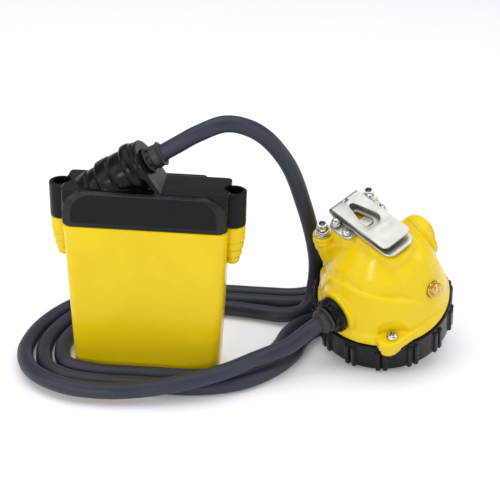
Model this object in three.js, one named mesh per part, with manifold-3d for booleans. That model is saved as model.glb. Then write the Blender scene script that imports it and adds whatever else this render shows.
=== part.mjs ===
// Miner's cap lamp: a belt-worn battery, a rubber cable wound round it, and a headpiece with a hat clip.
// Millimetres, +Z up. The origin is the middle of the battery's base, and the battery's front faces -Y.
import * as THREE from 'three';
import { mergeVertices } from 'three/addons/utils/BufferGeometryUtils.js';
import Module from 'manifold-3d';

const wasm = await Module();
wasm.setup();

// ---------- driving dimensions ----------
const GAP = 0.3;                 // clearance between parts that touch

// battery case and cover
const CASE_HALF_WIDTH = 41.3;    // at the seam
const CASE_DRAFT_X = 3.4;        // how much narrower each side is at the base
const CASE_FRONT = -13.9;
const CASE_BACK = 14.3;
const CASE_DRAFT_Y = 0.9;
const CASE_CORNER = 6;
const CASE_WALL = 2.3;
const SEAM_Z = 83.5;             // case meets cover
const COVER_TOP = 102.7;
const COVER_HALF_WIDTH = 40.6;
const COVER_FRONT = -12.1;
const COVER_BACK_RISE = 4;
const COVER_ROOF = 3;
const COVER_PANEL = 1.6;           // raised front panel, without its bevel
const LIP_DEPTH = 5.5;           // cover's tongue inside the case
const EAR_X = 43;                // screw axis of an ear
const EAR_Y = 0.9;
const EAR_RADIUS = 6.5;
const EAR_BORE = 4.6;
const EAR_BORE_FLOOR = 88;
const EAR_RIBS = [                // the ribbed ear of the case, as [radius, height]
  [3, 63], [4.2, 64.6], [4.1, 66], [3.9, 66.6], [5, 67.6], [5.1, 69.6], [4.8, 70.2],
  [5.7, 71.4], [5.8, 73.6], [5.5, 74.2], [6.3, 75.6], [6.3, SEAM_Z],
];
const SCREW_RADIUS = 2;

// belt bridge on the back of the case
const BELT_HEIGHT = 52;          // a 50 mm belt passes behind the bridge
const BELT_GAP = 5.2;
const BRIDGE_WIDTH = 34;
const BRIDGE_THICK = 3;
const BRIDGE_FOOT = 5;
const BRIDGE_Z = 13;             // lower end of the bridge

// cells
const CELL_RADIUS = 8.8;
const CELL_HEIGHT = 65;
const CELL_COUNT = 4;
const CELL_PITCH = 17.9;
const CELL_Z = 6.2;
const CELL_TOP = CELL_Z + CELL_HEIGHT;
const LOWER_TRAY_HALF = 31.8;
const UPPER_TRAY_HALF = 37.2;

// cable tower on the cover
const TOWER_END = [0.3, 1.5, 114.6];      // centre of the tower's end flange
const TOWER_RISE = 33 * Math.PI / 180;    // slope of the cable as it leaves
const TOWER_RADIUS = 12.6;
const TOWER_LENGTH = 45;
const TOWER_CUPS = 6;
const FLANGE_THICK = 2.2;
const COLLAR_LENGTH = 8.6;

// cable: its loops lie on the floor round the battery, each turn one pitch outside the one before
const CABLE_RADIUS = 4.25;
const CABLE_CORE = 3.2;                   // bore that only the cable's cores pass
const CABLE_STEPS = 126;
const CABLE_SIDES = 8;
const FLOOR_RUN = 4.4;                    // cable centre when it lies on the floor
const LOOP_PITCH = 9.6;
const LOOP_POINTS = 36;                   // per turn
const LOOP_FROM = 0.085;                  // turns, counted round the outline from its rear right
const LOOP_TO = 2.34;
const LOOP_MIDDLE = 1.5;                  // the turn that lies on the outline itself
const LOOP_OUTLINE = [
  [79, 70.6], [50, 68.2], [6, 66.6], [-26, 58.6], [-47, 38.4], [-57, 12], [-56.6, -6], [-48.2, -22.8],
  [-28, -29.6], [0, -29.4], [30, -27.8], [51, -19.8], [66, -5.2], [75, 11], [79.7, 28],
  [89.2, 41], [104, 46.6], [117.8, 52], [124.2, 66], [118.4, 80], [102, 85.4],
];
const CABLE_ARCH = [                      // from the tower up, over and down behind the headpiece
  [24.4, 3, 129.6], [38.2, 6, 134.4], [53.2, 12, 128.6], [67.8, 22, 109.4], [77.5, 33, 81.4],
  [84, 46, 52.6], [86, 56.6, 32], [85.4, 60, 18], [83.8, 57.6, 9.4], [80.4, 53, 6.6],
  [75.4, 50, 5.7], [67, 49.4, 4.8], [57, 51.8, FLOOR_RUN],
];
const CABLE_CLIMB = [                     // from the floor over the outer turns to the gland
  [-65, -8, 5.2], [-55.8, -27, 6.2], [-36.6, -39, 6.8], [-16, -41.4, 7], [0.6, -39.6, 7.8],
  [15.3, -37.8, 10.2], [28.6, -34.2, 12.4], [44.9, -25.6, 14], [56.6, -15.6, 14.6], [66, -10.4, 16.6],
  [74.6, -7.8, 20],
];

// headpiece: its own frame has Z along the optical axis, out of the back of the lamp
const HEAD_PLACE = [122.2, 31.7, 33];     // middle of the joint between housing and bezel
const HEAD_TILT = 23.5 * Math.PI / 180;
const HEAD_TURN = -14 * Math.PI / 180;
const SKIRT_RADIUS = 36;
const NECK_RADIUS = 34.1;
const NECK_DEPTH = 9;
const HOUSING_TOP = 46.5;
const BEZEL_RADIUS = 37.2;
const BEZEL_DEPTH = 19.8;
const TOOTH_RISE = 1.4;
const TOOTH_PAIRS = 14;
const LENS_RADIUS = 33.8;
const LENS_THICK = 3.2;
const GLAND_ANGLE = -125 * Math.PI / 180;
const GLAND_HEIGHT = 10.2;
const GLAND_FACE = 32;                  // from the optical axis to the gland's seat
const GLAND_LENGTH = 11.5;
const KNOB_ANGLE = 47 * Math.PI / 180;
const KNOB_LIFT = 10 * Math.PI / 180;
const KNOB_CENTRE = [14.3, 15, 30];
const KNOB_RADIUS = 12.2;
const SCOOP_TURN = 0.6;
const STUD_ANGLE = -17 * Math.PI / 180;
const STUD_LIFT = 22 * Math.PI / 180;
const STUD_HEIGHT = 9.3;               // where the stud's line crosses the optical axis
const LUG_ANGLE = -68 * Math.PI / 180;
const CLIP_ANGLE = 148 * Math.PI / 180;
const CLIP_WIDTH = 19;
const CLIP_THICK = 1.2;
const CLIP_FOLD_U = 28.4;                   // fold end of the clip, along its own length
const PLATE_END_U = -16;
const BLADE_END_U = -10.5;
const PLATE_Z = 48.4;
const CLIP_SLOT = 2.8;                    // room between plate and blade for the hat bracket
const POST_U = 26;
const POST_V = 16.6;
const POST_BOSS_TOP = 41;
const CLIP_SCREW_U = 12.5;
const CLIP_SCREW_V = 12.2;
const BRACKET_SCREW_U = 20.5;
const BRACKET_SCREW_V = 12.2;
const LUG_SCREW_RADIUS = 34.8;
const REFLECTOR_RIM = -NECK_DEPTH - GAP - 1;       // the flange that the neck's end seats
const GASKET_Z0 = REFLECTOR_RIM - GAP - 1.6;
const LENS_Z0 = GASKET_Z0 - GAP - LENS_THICK;     // outer face of the lens
const REFLECTOR_TOP = 6;
const EMITTER_Z = 3.6;
const EMITTER_HEIGHT = 3.6;
const BOARD_Z = EMITTER_Z + EMITTER_HEIGHT + GAP;
const BOARD_THICK = 1.6;
const SINK_RADIUS = 27;
const SINK_Z = BOARD_Z + BOARD_THICK + GAP;
const SINK_BOSS = 3.4;
const BUSHING_RADIUS = 4.2;
const SHAFT_RADIUS = 2.4;

// ---------- materials ----------
const finish = (color, roughness, metalness = 0) =>
  new THREE.MeshStandardMaterial({ color, roughness, metalness });
const YELLOW = finish(0xebd02d, 0.35);
const BLACK_ABS = finish(0x26262b, 0.4);
const RUBBER = finish(0x363b44, 0.6);
const STEEL = finish(0xd0cfc8, 0.3, 1);
const BRASS = finish(0xc9a24b, 0.3, 1);
const ALUMINIUM = finish(0xb8bbc0, 0.4, 1);
const MIRROR = finish(0xe6e6e6, 0.08, 1);
const CLEAR = finish(0xe8eef2, 0.05);
const BOARD = finish(0x1f6b3a, 0.5);
const CELL_WRAP = finish(0x2f6fb0, 0.45);
const FOAM = finish(0x3a3a3a, 0.9);
const NICKEL = finish(0xbfc1bd, 0.35, 1);
const EMITTER = finish(0xf3e38a, 0.3);

// ---------- solids ----------
function solid(geometry) {
  const bare = geometry.clone();
  bare.deleteAttribute('normal');
  bare.deleteAttribute('uv');
  const merged = mergeVertices(bare, 1e-4);
  return new wasm.Manifold(new wasm.Mesh({
    numProp: 3,
    vertProperties: new Float32Array(merged.attributes.position.array),
    triVerts: new Uint32Array(merged.index.array),
  }));
}

function geometryOf(body) {
  const raw = body.getMesh();
  const indexed = new THREE.BufferGeometry();
  indexed.setAttribute('position', new THREE.BufferAttribute(raw.vertProperties, 3));
  indexed.setIndex(new THREE.BufferAttribute(raw.triVerts, 1));
  const flat = indexed.toNonIndexed();
  flat.computeVertexNormals();
  return flat;
}

const join = (...bodies) => bodies.reduce((whole, body) => whole.add(body));
const cut = (body, ...tools) => tools.reduce((rest, tool) => rest.subtract(tool), body);

function mesh(name, shape, material) {
  const geometry = shape.isBufferGeometry ? shape : geometryOf(shape);
  const piece = new THREE.Mesh(geometry, material);
  piece.name = name;
  return piece;
}

function moved(geometry, x, y, z) {
  return geometry.translate(x, y, z);
}

// a flat outline in X and Y, raised from z0 to z1
function raised(shape, z0, z1, steps = 1, curveSegments = 5) {
  const geometry = new THREE.ExtrudeGeometry(shape, {
    depth: z1 - z0, steps, bevelEnabled: false, curveSegments,
  });
  return moved(geometry, 0, 0, z0);
}

// turned round the Z axis from [radius, height] pairs
function turned(profile, segments = 28) {
  return new THREE.LatheGeometry(profile.map(([r, z]) => new THREE.Vector2(r, z)), segments)
    .rotateX(Math.PI / 2);
}

const rod = (radius, z0, z1, segments = 18) =>
  turned([[0, z0], [radius, z0], [radius, z1], [0, z1]], segments);

const ring = (inner, outer, z0, z1, segments = 36) =>
  turned([[inner, z0], [outer, z0], [outer, z1], [inner, z1], [inner, z0]], segments);

const block = (x0, x1, y0, y1, z0, z1) =>
  moved(new THREE.BoxGeometry(x1 - x0, y1 - y0, z1 - z0), (x0 + x1) / 2, (y0 + y1) / 2, (z0 + z1) / 2);

// moves a geometry built along +Z so that it starts at a point and runs along a direction
function aimed(geometry, point, direction) {
  const turn = new THREE.Quaternion()
    .setFromUnitVectors(new THREE.Vector3(0, 0, 1), direction.clone().normalize());
  return moved(geometry.applyQuaternion(turn), ...point);
}

function roundedBox(x0, x1, y0, y1, r) {
  const shape = new THREE.Shape();
  shape.moveTo(x0 + r, y0);
  shape.lineTo(x1 - r, y0);
  shape.absarc(x1 - r, y0 + r, r, -Math.PI / 2, 0);
  shape.lineTo(x1, y1 - r);
  shape.absarc(x1 - r, y1 - r, r, 0, Math.PI / 2);
  shape.lineTo(x0 + r, y1);
  shape.absarc(x0 + r, y1 - r, r, Math.PI / 2, Math.PI);
  shape.lineTo(x0, y0 + r);
  shape.absarc(x0 + r, y0 + r, r, Math.PI, Math.PI * 1.5);
  return shape;
}

// mould draft: narrows a geometry linearly from the seam down to the base
function drafted(geometry) {
  const place = geometry.attributes.position;
  for (let i = 0; i < place.count; i += 1) {
    const drop = 1 - place.getZ(i) / SEAM_Z;
    place.setX(i, place.getX(i) * (1 - drop * CASE_DRAFT_X / CASE_HALF_WIDTH));
    place.setY(i, place.getY(i) * (1 - drop * CASE_DRAFT_Y / CASE_BACK));
  }
  return geometry;
}

// ---------- battery case ----------
const earOutline = (side, radius) => {
  const shape = new THREE.Shape();
  const inner = EAR_X - 7;
  shape.moveTo(side * inner, EAR_Y - radius - 1.2);
  shape.lineTo(side * EAR_X, EAR_Y - radius);
  shape.absarc(side * EAR_X, EAR_Y, radius, -Math.PI / 2, Math.PI / 2, side < 0);
  shape.lineTo(side * inner, EAR_Y + radius + 1.2);
  return shape;
};

const caseEar = (side) =>
  solid(moved(turned([[0, EAR_RIBS[0][1]], ...EAR_RIBS, [0, SEAM_Z]], 20), side * EAR_X, EAR_Y, 0));

function beltBridge() {
  const half = BRIDGE_WIDTH / 2;
  const face = CASE_BACK - 1;
  const outer = face + 1 + BELT_GAP + BRIDGE_THICK;
  const top = BRIDGE_Z + BELT_HEIGHT + 2 * BRIDGE_FOOT;
  const profile = new THREE.Shape();
  profile.moveTo(face, BRIDGE_Z);
  profile.lineTo(outer - 3, BRIDGE_Z);
  profile.lineTo(outer, BRIDGE_Z + 4);
  profile.lineTo(outer, top - 4);
  profile.lineTo(outer - 3, top);
  profile.lineTo(face, top);
  const geometry = new THREE.ExtrudeGeometry(profile, { depth: BRIDGE_WIDTH, bevelEnabled: false });
  geometry.applyMatrix4(new THREE.Matrix4().makeBasis(
    new THREE.Vector3(0, 1, 0), new THREE.Vector3(0, 0, 1), new THREE.Vector3(1, 0, 0)));
  const bridge = solid(moved(geometry, -half, 0, 0));
  const slot = block(-half - 1, half + 1, face - 1, CASE_BACK + BELT_GAP,
    BRIDGE_Z + BRIDGE_FOOT, top - BRIDGE_FOOT);
  return cut(bridge, solid(slot));
}

const caseOutline = (inset) => roundedBox(
  -CASE_HALF_WIDTH + inset, CASE_HALF_WIDTH - inset, CASE_FRONT + inset, CASE_BACK - inset,
  CASE_CORNER - inset * 0.8);

function batteryCase() {
  const outer = join(solid(drafted(raised(caseOutline(0), 0, SEAM_Z))), caseEar(-1), caseEar(1),
    beltBridge());
  const cavity = solid(drafted(raised(caseOutline(CASE_WALL), 3, SEAM_Z + 1)));
  const pilots = [-1, 1].map((side) =>
    solid(moved(rod(SCREW_RADIUS + GAP, 69, SEAM_Z + 1, 12), side * EAR_X, EAR_Y, 0)));
  return cut(outer, cavity, ...pilots);
}

// ---------- battery cover ----------
function coverPanel() {
  const half = CASE_HALF_WIDTH - 3.4;
  const height = COVER_TOP - SEAM_Z;
  const shape = new THREE.Shape();
  shape.moveTo(-half, GAP);
  shape.lineTo(half, GAP);
  shape.lineTo(half, height - 11);
  shape.quadraticCurveTo(half - 0.6, height - 1, half - 10, height - 0.4);
  shape.lineTo(-half + 10, height - 0.4);
  shape.quadraticCurveTo(-half + 0.6, height - 1, -half, height - 11);
  const geometry = new THREE.ExtrudeGeometry(shape, {
    depth: COVER_PANEL, bevelEnabled: true, bevelThickness: 1.1, bevelSize: 1.5, bevelOffset: -1.5,
    bevelSegments: 1, curveSegments: 6,
  });
  geometry.rotateX(Math.PI / 2);
  return solid(moved(geometry, 0, COVER_FRONT + 0.8, SEAM_Z));
}

// the cable tower: cups stacked along the cable's slope, each a little wider than the one before
function towerCups() {
  const cup = TOWER_LENGTH / TOWER_CUPS;
  const profile = [[0, -TOWER_LENGTH]];
  for (let i = 0; i < TOWER_CUPS; i += 1) {
    const z = -TOWER_LENGTH + i * cup;
    const radius = TOWER_RADIUS - 0.15 * (TOWER_LENGTH - (i + 1) * cup) - 0.6;
    profile.push([radius - 2, z], [radius - 0.2, z + cup * 0.5], [radius - 0.6, z + cup]);
  }
  profile.push([0, 0]);
  return turned(profile, 20);
}

const cableOut = new THREE.Vector3(Math.cos(TOWER_RISE), 0, Math.sin(TOWER_RISE));
const alongCable = (distance) => [
  TOWER_END[0] + distance * cableOut.x, TOWER_END[1], TOWER_END[2] + distance * cableOut.z];

// drop: the flange's gusset that reaches the front edge of the cover
function towerFlange() {
  const shape = new THREE.Shape();
  shape.absarc(0, 0, TOWER_RADIUS + 0.4, Math.PI * 1.12, Math.PI * 1.88, true);
  shape.lineTo(10.2, -24);
  shape.lineTo(-10.2, -24);
  const plate = new THREE.ExtrudeGeometry(shape, {
    depth: FLANGE_THICK, bevelEnabled: false, curveSegments: 14 });
  const slope = new THREE.Matrix4().makeBasis(new THREE.Vector3(0, 1, 0),
    new THREE.Vector3(-Math.sin(TOWER_RISE), 0, Math.cos(TOWER_RISE)), cableOut);
  plate.applyMatrix4(slope);
  return solid(moved(plate, ...alongCable(-FLANGE_THICK)));
}

// web that carries the cups down to the roof of the cover
function towerWeb() {
  const shape = new THREE.Shape();
  shape.moveTo(-30, COVER_TOP - 1.5);
  shape.lineTo(7, COVER_TOP - 1.5);
  shape.lineTo(TOWER_END[0] - 1, TOWER_END[2]);
  shape.lineTo(-22, COVER_TOP + 1.5);
  const web = new THREE.ExtrudeGeometry(shape, { depth: 17, bevelEnabled: false });
  web.rotateX(Math.PI / 2);
  return solid(moved(web, 0, TOWER_END[1] + 8.5, 0));
}

function batteryCover() {
  const z0 = SEAM_Z + GAP;
  const body = roundedBox(-COVER_HALF_WIDTH, COVER_HALF_WIDTH, COVER_FRONT, CASE_BACK, 3.5);
  const back = roundedBox(-28, 28, 0, CASE_BACK + COVER_BACK_RISE, 2);
  const shell = join(
    solid(raised(body, z0, COVER_TOP)),
    solid(raised(back, z0 + 4, COVER_TOP - 0.8)),
    solid(raised(earOutline(-1, EAR_RADIUS), z0, COVER_TOP - 0.9, 1, 10)),
    solid(raised(earOutline(1, EAR_RADIUS), z0, COVER_TOP - 0.9, 1, 10)),
    coverPanel());
  const roofCut = solid(block(-70, 70, -40, 40, 60, COVER_TOP));
  const tower = cut(join(solid(aimed(towerCups(), TOWER_END, cableOut)), towerFlange(), towerWeb()),
    roofCut);
  const lip = solid(drafted(raised(caseOutline(CASE_WALL + 2), SEAM_Z - LIP_DEPTH, z0 + 2)));
  const inside = solid(drafted(raised(caseOutline(CASE_WALL + 3.8), SEAM_Z - LIP_DEPTH - 1,
    COVER_TOP - COVER_ROOF)));
  const screwWells = [-1, 1].flatMap((side) => [
    solid(moved(rod(EAR_BORE, EAR_BORE_FLOOR, COVER_TOP + 1), side * EAR_X, EAR_Y, 0)),
    solid(moved(rod(SCREW_RADIUS + GAP, SEAM_Z - 1, EAR_BORE_FLOOR + 1, 12), side * EAR_X, EAR_Y, 0)),
  ]);
  const cableBore = solid(aimed(rod(CABLE_RADIUS + 0.6, -22, 2), TOWER_END, cableOut));
  return cut(join(shell, tower, lip), inside, ...screwWells, cableBore);
}

function coverGasket() {
  const shape = caseOutline(CASE_WALL + GAP);
  shape.holes.push(new THREE.Path(caseOutline(CASE_WALL + 2 - GAP).getPoints(5).reverse()));
  return drafted(raised(shape, SEAM_Z - 4.6, SEAM_Z - 2));
}

// socket-head screw, head down in the ear's well
function coverScrew() {
  const head = EAR_BORE_FLOOR + GAP;
  const body = solid(turned([[0, 71], [1.5, 71], [SCREW_RADIUS, 72], [SCREW_RADIUS, head],
    [3.6, head], [3.6, head + 3.4], [3.1, head + 4], [0, head + 4]], 14));
  return cut(body, solid(rod(1.7, head + 1.8, head + 5, 6)));
}

// ---------- inside the battery ----------
const cellX = (index) => (index - (CELL_COUNT - 1) / 2) * CELL_PITCH;

function cell() {
  const top = CELL_TOP;
  return turned([[0, CELL_Z], [CELL_RADIUS - 0.5, CELL_Z], [CELL_RADIUS, CELL_Z + 0.5],
    [CELL_RADIUS, top - 0.8], [CELL_RADIUS - 0.7, top], [3.2, top], [3.2, top + 0.8], [0, top + 0.8]], 14);
}

function cellTray(half, z0, z1, pocket0, pocket1) {
  const depth = CELL_RADIUS + 1.75;
  const tray = solid(raised(roundedBox(-half, half, -depth, depth, 3), z0, z1, 1, 3));
  const pockets = Array.from({ length: CELL_COUNT }, (_, i) =>
    solid(moved(rod(CELL_RADIUS + GAP, pocket0, pocket1, 14), cellX(i), 0, 0)));
  return cut(tray, ...pockets);
}

const nickelStrip = (z0, z1) =>
  block(cellX(0) - 4, cellX(CELL_COUNT - 1) + 4, -3.5, 3.5, z0, z1);

function protectionBoard() {
  const z = CELL_TOP + 1.6 + GAP;
  const half = 26;
  const parts = [[-22, -14, -4, 4, 2.2], [-9, -3, -5, 0, 1.6], [2, 8, -5, 0, 1.6], [13, 22, -3, 5, 2.6]];
  const chips = parts.map(([x0, x1, y0, y1, high]) => solid(block(x0, x1, y0, y1, z + 1, z + 1.6 + high)));
  return join(solid(block(-half, half, -6.5, 6.5, z, z + 1.6)), ...chips);
}

// ---------- cable ----------
// ribbed sleeve that grips the cable where it leaves the tower
function towerCollar() {
  return turned([[CABLE_CORE, 0], [7.4, 0], [7.4, 1.6], [6.2, 2], [6.2, 3.4], [6.9, 3.8], [6.9, 5],
    [6, 5.4], [5.8, 7.2], [6.2, 7.6], [6.2, COLLAR_LENGTH], [CABLE_CORE, COLLAR_LENGTH],
    [CABLE_CORE, 0]], 16);
}

const headMatrix = new THREE.Matrix4().compose(new THREE.Vector3(...HEAD_PLACE),
  new THREE.Quaternion().setFromEuler(new THREE.Euler(HEAD_TILT, 0, HEAD_TURN, 'ZYX')),
  new THREE.Vector3(1, 1, 1));
const glandOut = new THREE.Vector3(Math.cos(GLAND_ANGLE), Math.sin(GLAND_ANGLE), 0);
const glandPoint = (distance) => glandOut.clone().multiplyScalar(distance)
  .setZ(GLAND_HEIGHT).applyMatrix4(headMatrix);

// a point of the loops: the outline at this turn, set out or in by whole and part pitches
const outline = new THREE.CatmullRomCurve3(
  LOOP_OUTLINE.map(([x, y]) => new THREE.Vector3(x, y, FLOOR_RUN)), true);
function loopPoint(turn) {
  const along = outline.getTangentAt(turn % 1);
  const out = new THREE.Vector3(along.y, -along.x, 0);
  return outline.getPointAt(turn % 1).addScaledVector(out, LOOP_PITCH * (turn - LOOP_MIDDLE));
}

function cableCurve() {
  const count = Math.ceil(LOOP_POINTS * (LOOP_TO - LOOP_FROM));
  const loops = Array.from({ length: count + 1 }, (_, i) =>
    loopPoint(LOOP_FROM + (LOOP_TO - LOOP_FROM) * i / count));
  const ends = [COLLAR_LENGTH + 2 * GAP, COLLAR_LENGTH + 9].map(alongCable);
  const gland = [GLAND_LENGTH + 9, GLAND_LENGTH + GAP].map((reach) => glandPoint(GLAND_FACE + reach));
  return new THREE.CatmullRomCurve3([
    ...[...ends, ...CABLE_ARCH].map((point) => new THREE.Vector3(...point)), ...loops,
    ...CABLE_CLIMB.map((point) => new THREE.Vector3(...point)), ...gland,
  ], false, 'centripetal');
}

// least gap between stretches of the tube that are more than six diameters apart along it
function leastSelfGap(rings) {
  const points = rings.slice(1).flatMap((ring, i) =>
    [0, 0.2, 0.4, 0.6, 0.8].map((share) => rings[i].clone().lerp(ring, share)));
  const skip = Math.ceil(12 * CABLE_RADIUS / points[0].distanceTo(points[1]));
  let least = Infinity;
  for (let i = 0; i < points.length; i += 1) {
    for (let j = i + skip; j < points.length; j += 1) {
      least = Math.min(least, points[i].distanceTo(points[j]));
    }
  }
  return least - 2 * CABLE_RADIUS;
}

function cable() {
  const section = new THREE.Shape();
  section.absarc(0, 0, CABLE_RADIUS, 0, 2 * Math.PI);
  const path = cableCurve();
  const gap = leastSelfGap(path.getSpacedPoints(CABLE_STEPS));
  console.log(`cable ${path.getLength().toFixed(0)} mm long, least gap to itself ${gap.toFixed(2)} mm`);
  return new THREE.ExtrudeGeometry(section, {
    steps: CABLE_STEPS, curveSegments: CABLE_SIDES / 2, extrudePath: path });
}

// ---------- headpiece housing ----------
const polar = (radius, angle, z) => [radius * Math.cos(angle), radius * Math.sin(angle), z];
const outward = (angle, lift = 0) => new THREE.Vector3(
  Math.cos(angle) * Math.cos(lift), Math.sin(angle) * Math.cos(lift), Math.sin(lift));
const clipU = outward(CLIP_ANGLE);
const clipV = outward(CLIP_ANGLE + Math.PI / 2);
const clipPoint = (u, v, z) => [u * clipU.x + v * clipV.x, u * clipU.y + v * clipV.y, z];
const knobOut = outward(KNOB_ANGLE, KNOB_LIFT);
const studOut = outward(STUD_ANGLE, STUD_LIFT);

// main dome, and a second one beside it that carries the contact stud and the switch
const DOME = [[SKIRT_RADIUS, 0], [SKIRT_RADIUS, 3.4], [35, 5.4], [32.4, 8], [30.8, 12], [29.2, 18],
  [27, 24], [24.2, 30], [20.6, 36], [16.4, 41], [12.6, 44.6]];
const SIDE_DOME = [[26.4, 0], [26, 8], [24.9, 16], [23, 23], [20, 29.5], [16, 35], [11, 39.5]];
const SIDE_DOME_PLACE = [8.4, 2.5, 0];
const CAVITY = [[0, -NECK_DEPTH - 1], [NECK_RADIUS - 2.5, -NECK_DEPTH - 1], [NECK_RADIUS - 2.5, 3],
  [SINK_RADIUS + GAP, 5.5], [SINK_RADIUS + GAP, SINK_Z + 2.2 + GAP], [SINK_RADIUS - 1.6, SINK_Z + 2.2 + GAP],
  [24.4, 24], [18, 36], [9, 43], [0, 43.4]];

const dome = (wall, top, segments) => turned([[0, 0], ...wall, [0, top]], segments);

// shoulder under the clip, with a wider pad for the four clip screws
function clipShoulder() {
  const spine = raised(roundedBox(-13, 30, -10.5, 10.5, 8), 12, HOUSING_TOP, 1, 4);
  const pad = raised(roundedBox(8, 24.6, -15, 15, 3), 26, HOUSING_TOP, 1, 3);
  const nuts = [-1, 1].map((side) => solid(moved(rod(4.6, POST_BOSS_TOP, HOUSING_TOP + 1, 20),
    POST_U, side * POST_V, 0)));
  return geometryOf(cut(join(solid(spine), solid(pad)), ...nuts)).rotateZ(CLIP_ANGLE);
}

function postBoss(side) {
  const [x, y] = clipPoint(POST_U, side * POST_V, 0);
  const boss = turned([[0, 12], [4.6, 13], [5.4, 24], [5.8, POST_BOSS_TOP - 4],
    [5.8, POST_BOSS_TOP - 0.8], [5, POST_BOSS_TOP], [0, POST_BOSS_TOP]], 16);
  return solid(moved(boss, x, y, 0));
}

function knobBoss() {
  const radius = KNOB_RADIUS;
  return solid(aimed(turned([[0, -16], [radius, -12], [radius, 0.8], [radius - 0.8, 1.6], [0, 1.6]], 24),
    KNOB_CENTRE, knobOut));
}

function glandBoss() {
  const boss = turned([[0, 4], [21.5, 4], [21.5, 17], [20.6, 22], [18, 26], [14.6, 28.8],
    [12.8, 30.2], [12.4, GLAND_FACE], [0, GLAND_FACE]], 24);
  return cut(solid(aimed(boss, [0, 0, GLAND_HEIGHT], glandOut)),
    solid(block(-60, 60, -60, 60, -30, 0)));
}

function studBoss() {
  const boss = turned([[0, 8], [12.5, 8], [11.6, 22], [9.6, 27.5], [7.6, 30.6], [6.8, 31.8],
    [0, 31.8]], 20);
  return solid(aimed(boss, [0, 0, STUD_HEIGHT], studOut));
}

// lug that hangs over the bezel and takes the lock screw
function lockLug() {
  const shape = new THREE.Shape();
  shape.moveTo(26, -8);
  shape.lineTo(36.4, -8);
  shape.quadraticCurveTo(40, -7.5, 41, -3);
  shape.quadraticCurveTo(41.4, 0, 38.6, 4);
  shape.lineTo(30, 16);
  const cap = solid(raised(shape, 0.1, 6.4, 1, 4).rotateZ(LUG_ANGLE));
  const tongue = new THREE.Shape();
  const inner = BEZEL_RADIUS + GAP;
  tongue.moveTo(inner, -6.6);
  tongue.quadraticCurveTo(40.4, -6, 40.9, -3);
  tongue.quadraticCurveTo(41.2, 0, inner, 4.6);
  const hanging = solid(raised(tongue, -3.4, 3, 1, 4).rotateZ(LUG_ANGLE));
  return join(cap, hanging);
}

function headpieceHousing() {
  const side = dome(SIDE_DOME, 41.5, 28).translate(...SIDE_DOME_PLACE);
  const outer = join(solid(dome(DOME, HOUSING_TOP, 36)), solid(side),
    solid(ring(20, NECK_RADIUS, -NECK_DEPTH, 3, 36)), solid(clipShoulder()),
    postBoss(-1), postBoss(1), knobBoss(), glandBoss(), studBoss(), lockLug());
  const cavity = solid(turned(CAVITY, 24));
  const bores = [
    aimed(rod(KNOB_RADIUS + 0.5, 1.6, 30, 24), KNOB_CENTRE, knobOut),
    aimed(rod(BUSHING_RADIUS + GAP, -14, 6, 14), KNOB_CENTRE, knobOut),
    aimed(rod(10.3, GLAND_FACE, 60, 24), [0, 0, GLAND_HEIGHT], glandOut),
    aimed(rod(4.7, 31.8, 50, 16), [0, 0, STUD_HEIGHT], studOut),
    moved(rod(3.4, 6.4, 14, 16), ...polar(LUG_SCREW_RADIUS, LUG_ANGLE, 0)),
    aimed(rod(5, 15, GLAND_FACE + 1, 16), [0, 0, GLAND_HEIGHT], glandOut),
    aimed(rod(2.2 + GAP, 15, 36, 14), [0, 0, STUD_HEIGHT], studOut),
    moved(rod(2.2, -10, 8, 14), ...polar(LUG_SCREW_RADIUS, LUG_ANGLE, 0)),
    ...[-1, 1].map((side) => moved(rod(1.9 + GAP, 28, HOUSING_TOP, 14),
      ...clipPoint(POST_U, side * POST_V, 0))),
    ...[-1, 1].map((side) => moved(rod(1.4 + GAP, 38, HOUSING_TOP + 1, 12),
      ...clipPoint(CLIP_SCREW_U, side * CLIP_SCREW_V, 0))),
    ...[-1, 1].map((side) => moved(rod(1.4 + GAP, 32, HOUSING_TOP + 1, 12),
      ...clipPoint(BRACKET_SCREW_U, side * BRACKET_SCREW_V, 0))),
  ].map(solid);
  return cut(outer, cavity, ...bores);
}

// ---------- bezel, glass and light ----------
function bezelRing() {
  const body = solid(turned([
    [NECK_RADIUS + GAP, -GAP], [NECK_RADIUS + GAP, LENS_Z0 - GAP], [30.4, LENS_Z0 - GAP],
    [32.4, -BEZEL_DEPTH], [BEZEL_RADIUS - 1.4, -BEZEL_DEPTH],
    [BEZEL_RADIUS, -BEZEL_DEPTH + 1.6], [BEZEL_RADIUS, -GAP], [NECK_RADIUS + GAP, -GAP]], 36));
  const pitch = 2 * Math.PI / TOOTH_PAIRS;
  const teeth = [];
  for (let i = 0; i < TOOTH_PAIRS; i += 1) {
    const middle = LUG_ANGLE + (i + 0.5) * pitch;
    [-0.09, 0.09].forEach((offset) => {
      const rib = block(BEZEL_RADIUS - 1, BEZEL_RADIUS + TOOTH_RISE, -1.6, 1.6,
        -BEZEL_DEPTH + 0.8, -5);
      teeth.push(solid(rib.rotateZ(middle + offset)));
    });
  }
  const screwHole = solid(moved(rod(2.2, -9, 1, 14), ...polar(LUG_SCREW_RADIUS, LUG_ANGLE, 0)));
  return cut(join(body, ...teeth), screwHole);
}

function reflector() {
  const wall = 1;
  const inner = [];
  const outer = [];
  for (let i = 0; i <= 6; i += 1) {
    const r = 7 + i / 6 * 22.6;
    const z = REFLECTOR_TOP - (r * r - 49) / (29.6 * 29.6 - 49) * (REFLECTOR_TOP - REFLECTOR_RIM);
    inner.push([r, z]);
    outer.unshift([r + wall, z + 0.6]);
  }
  outer[0] = [30.9, REFLECTOR_RIM + 1];
  return turned([...inner, [33.6, REFLECTOR_RIM], [33.6, REFLECTOR_RIM + 1], ...outer, inner[0]], 24);
}

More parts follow.
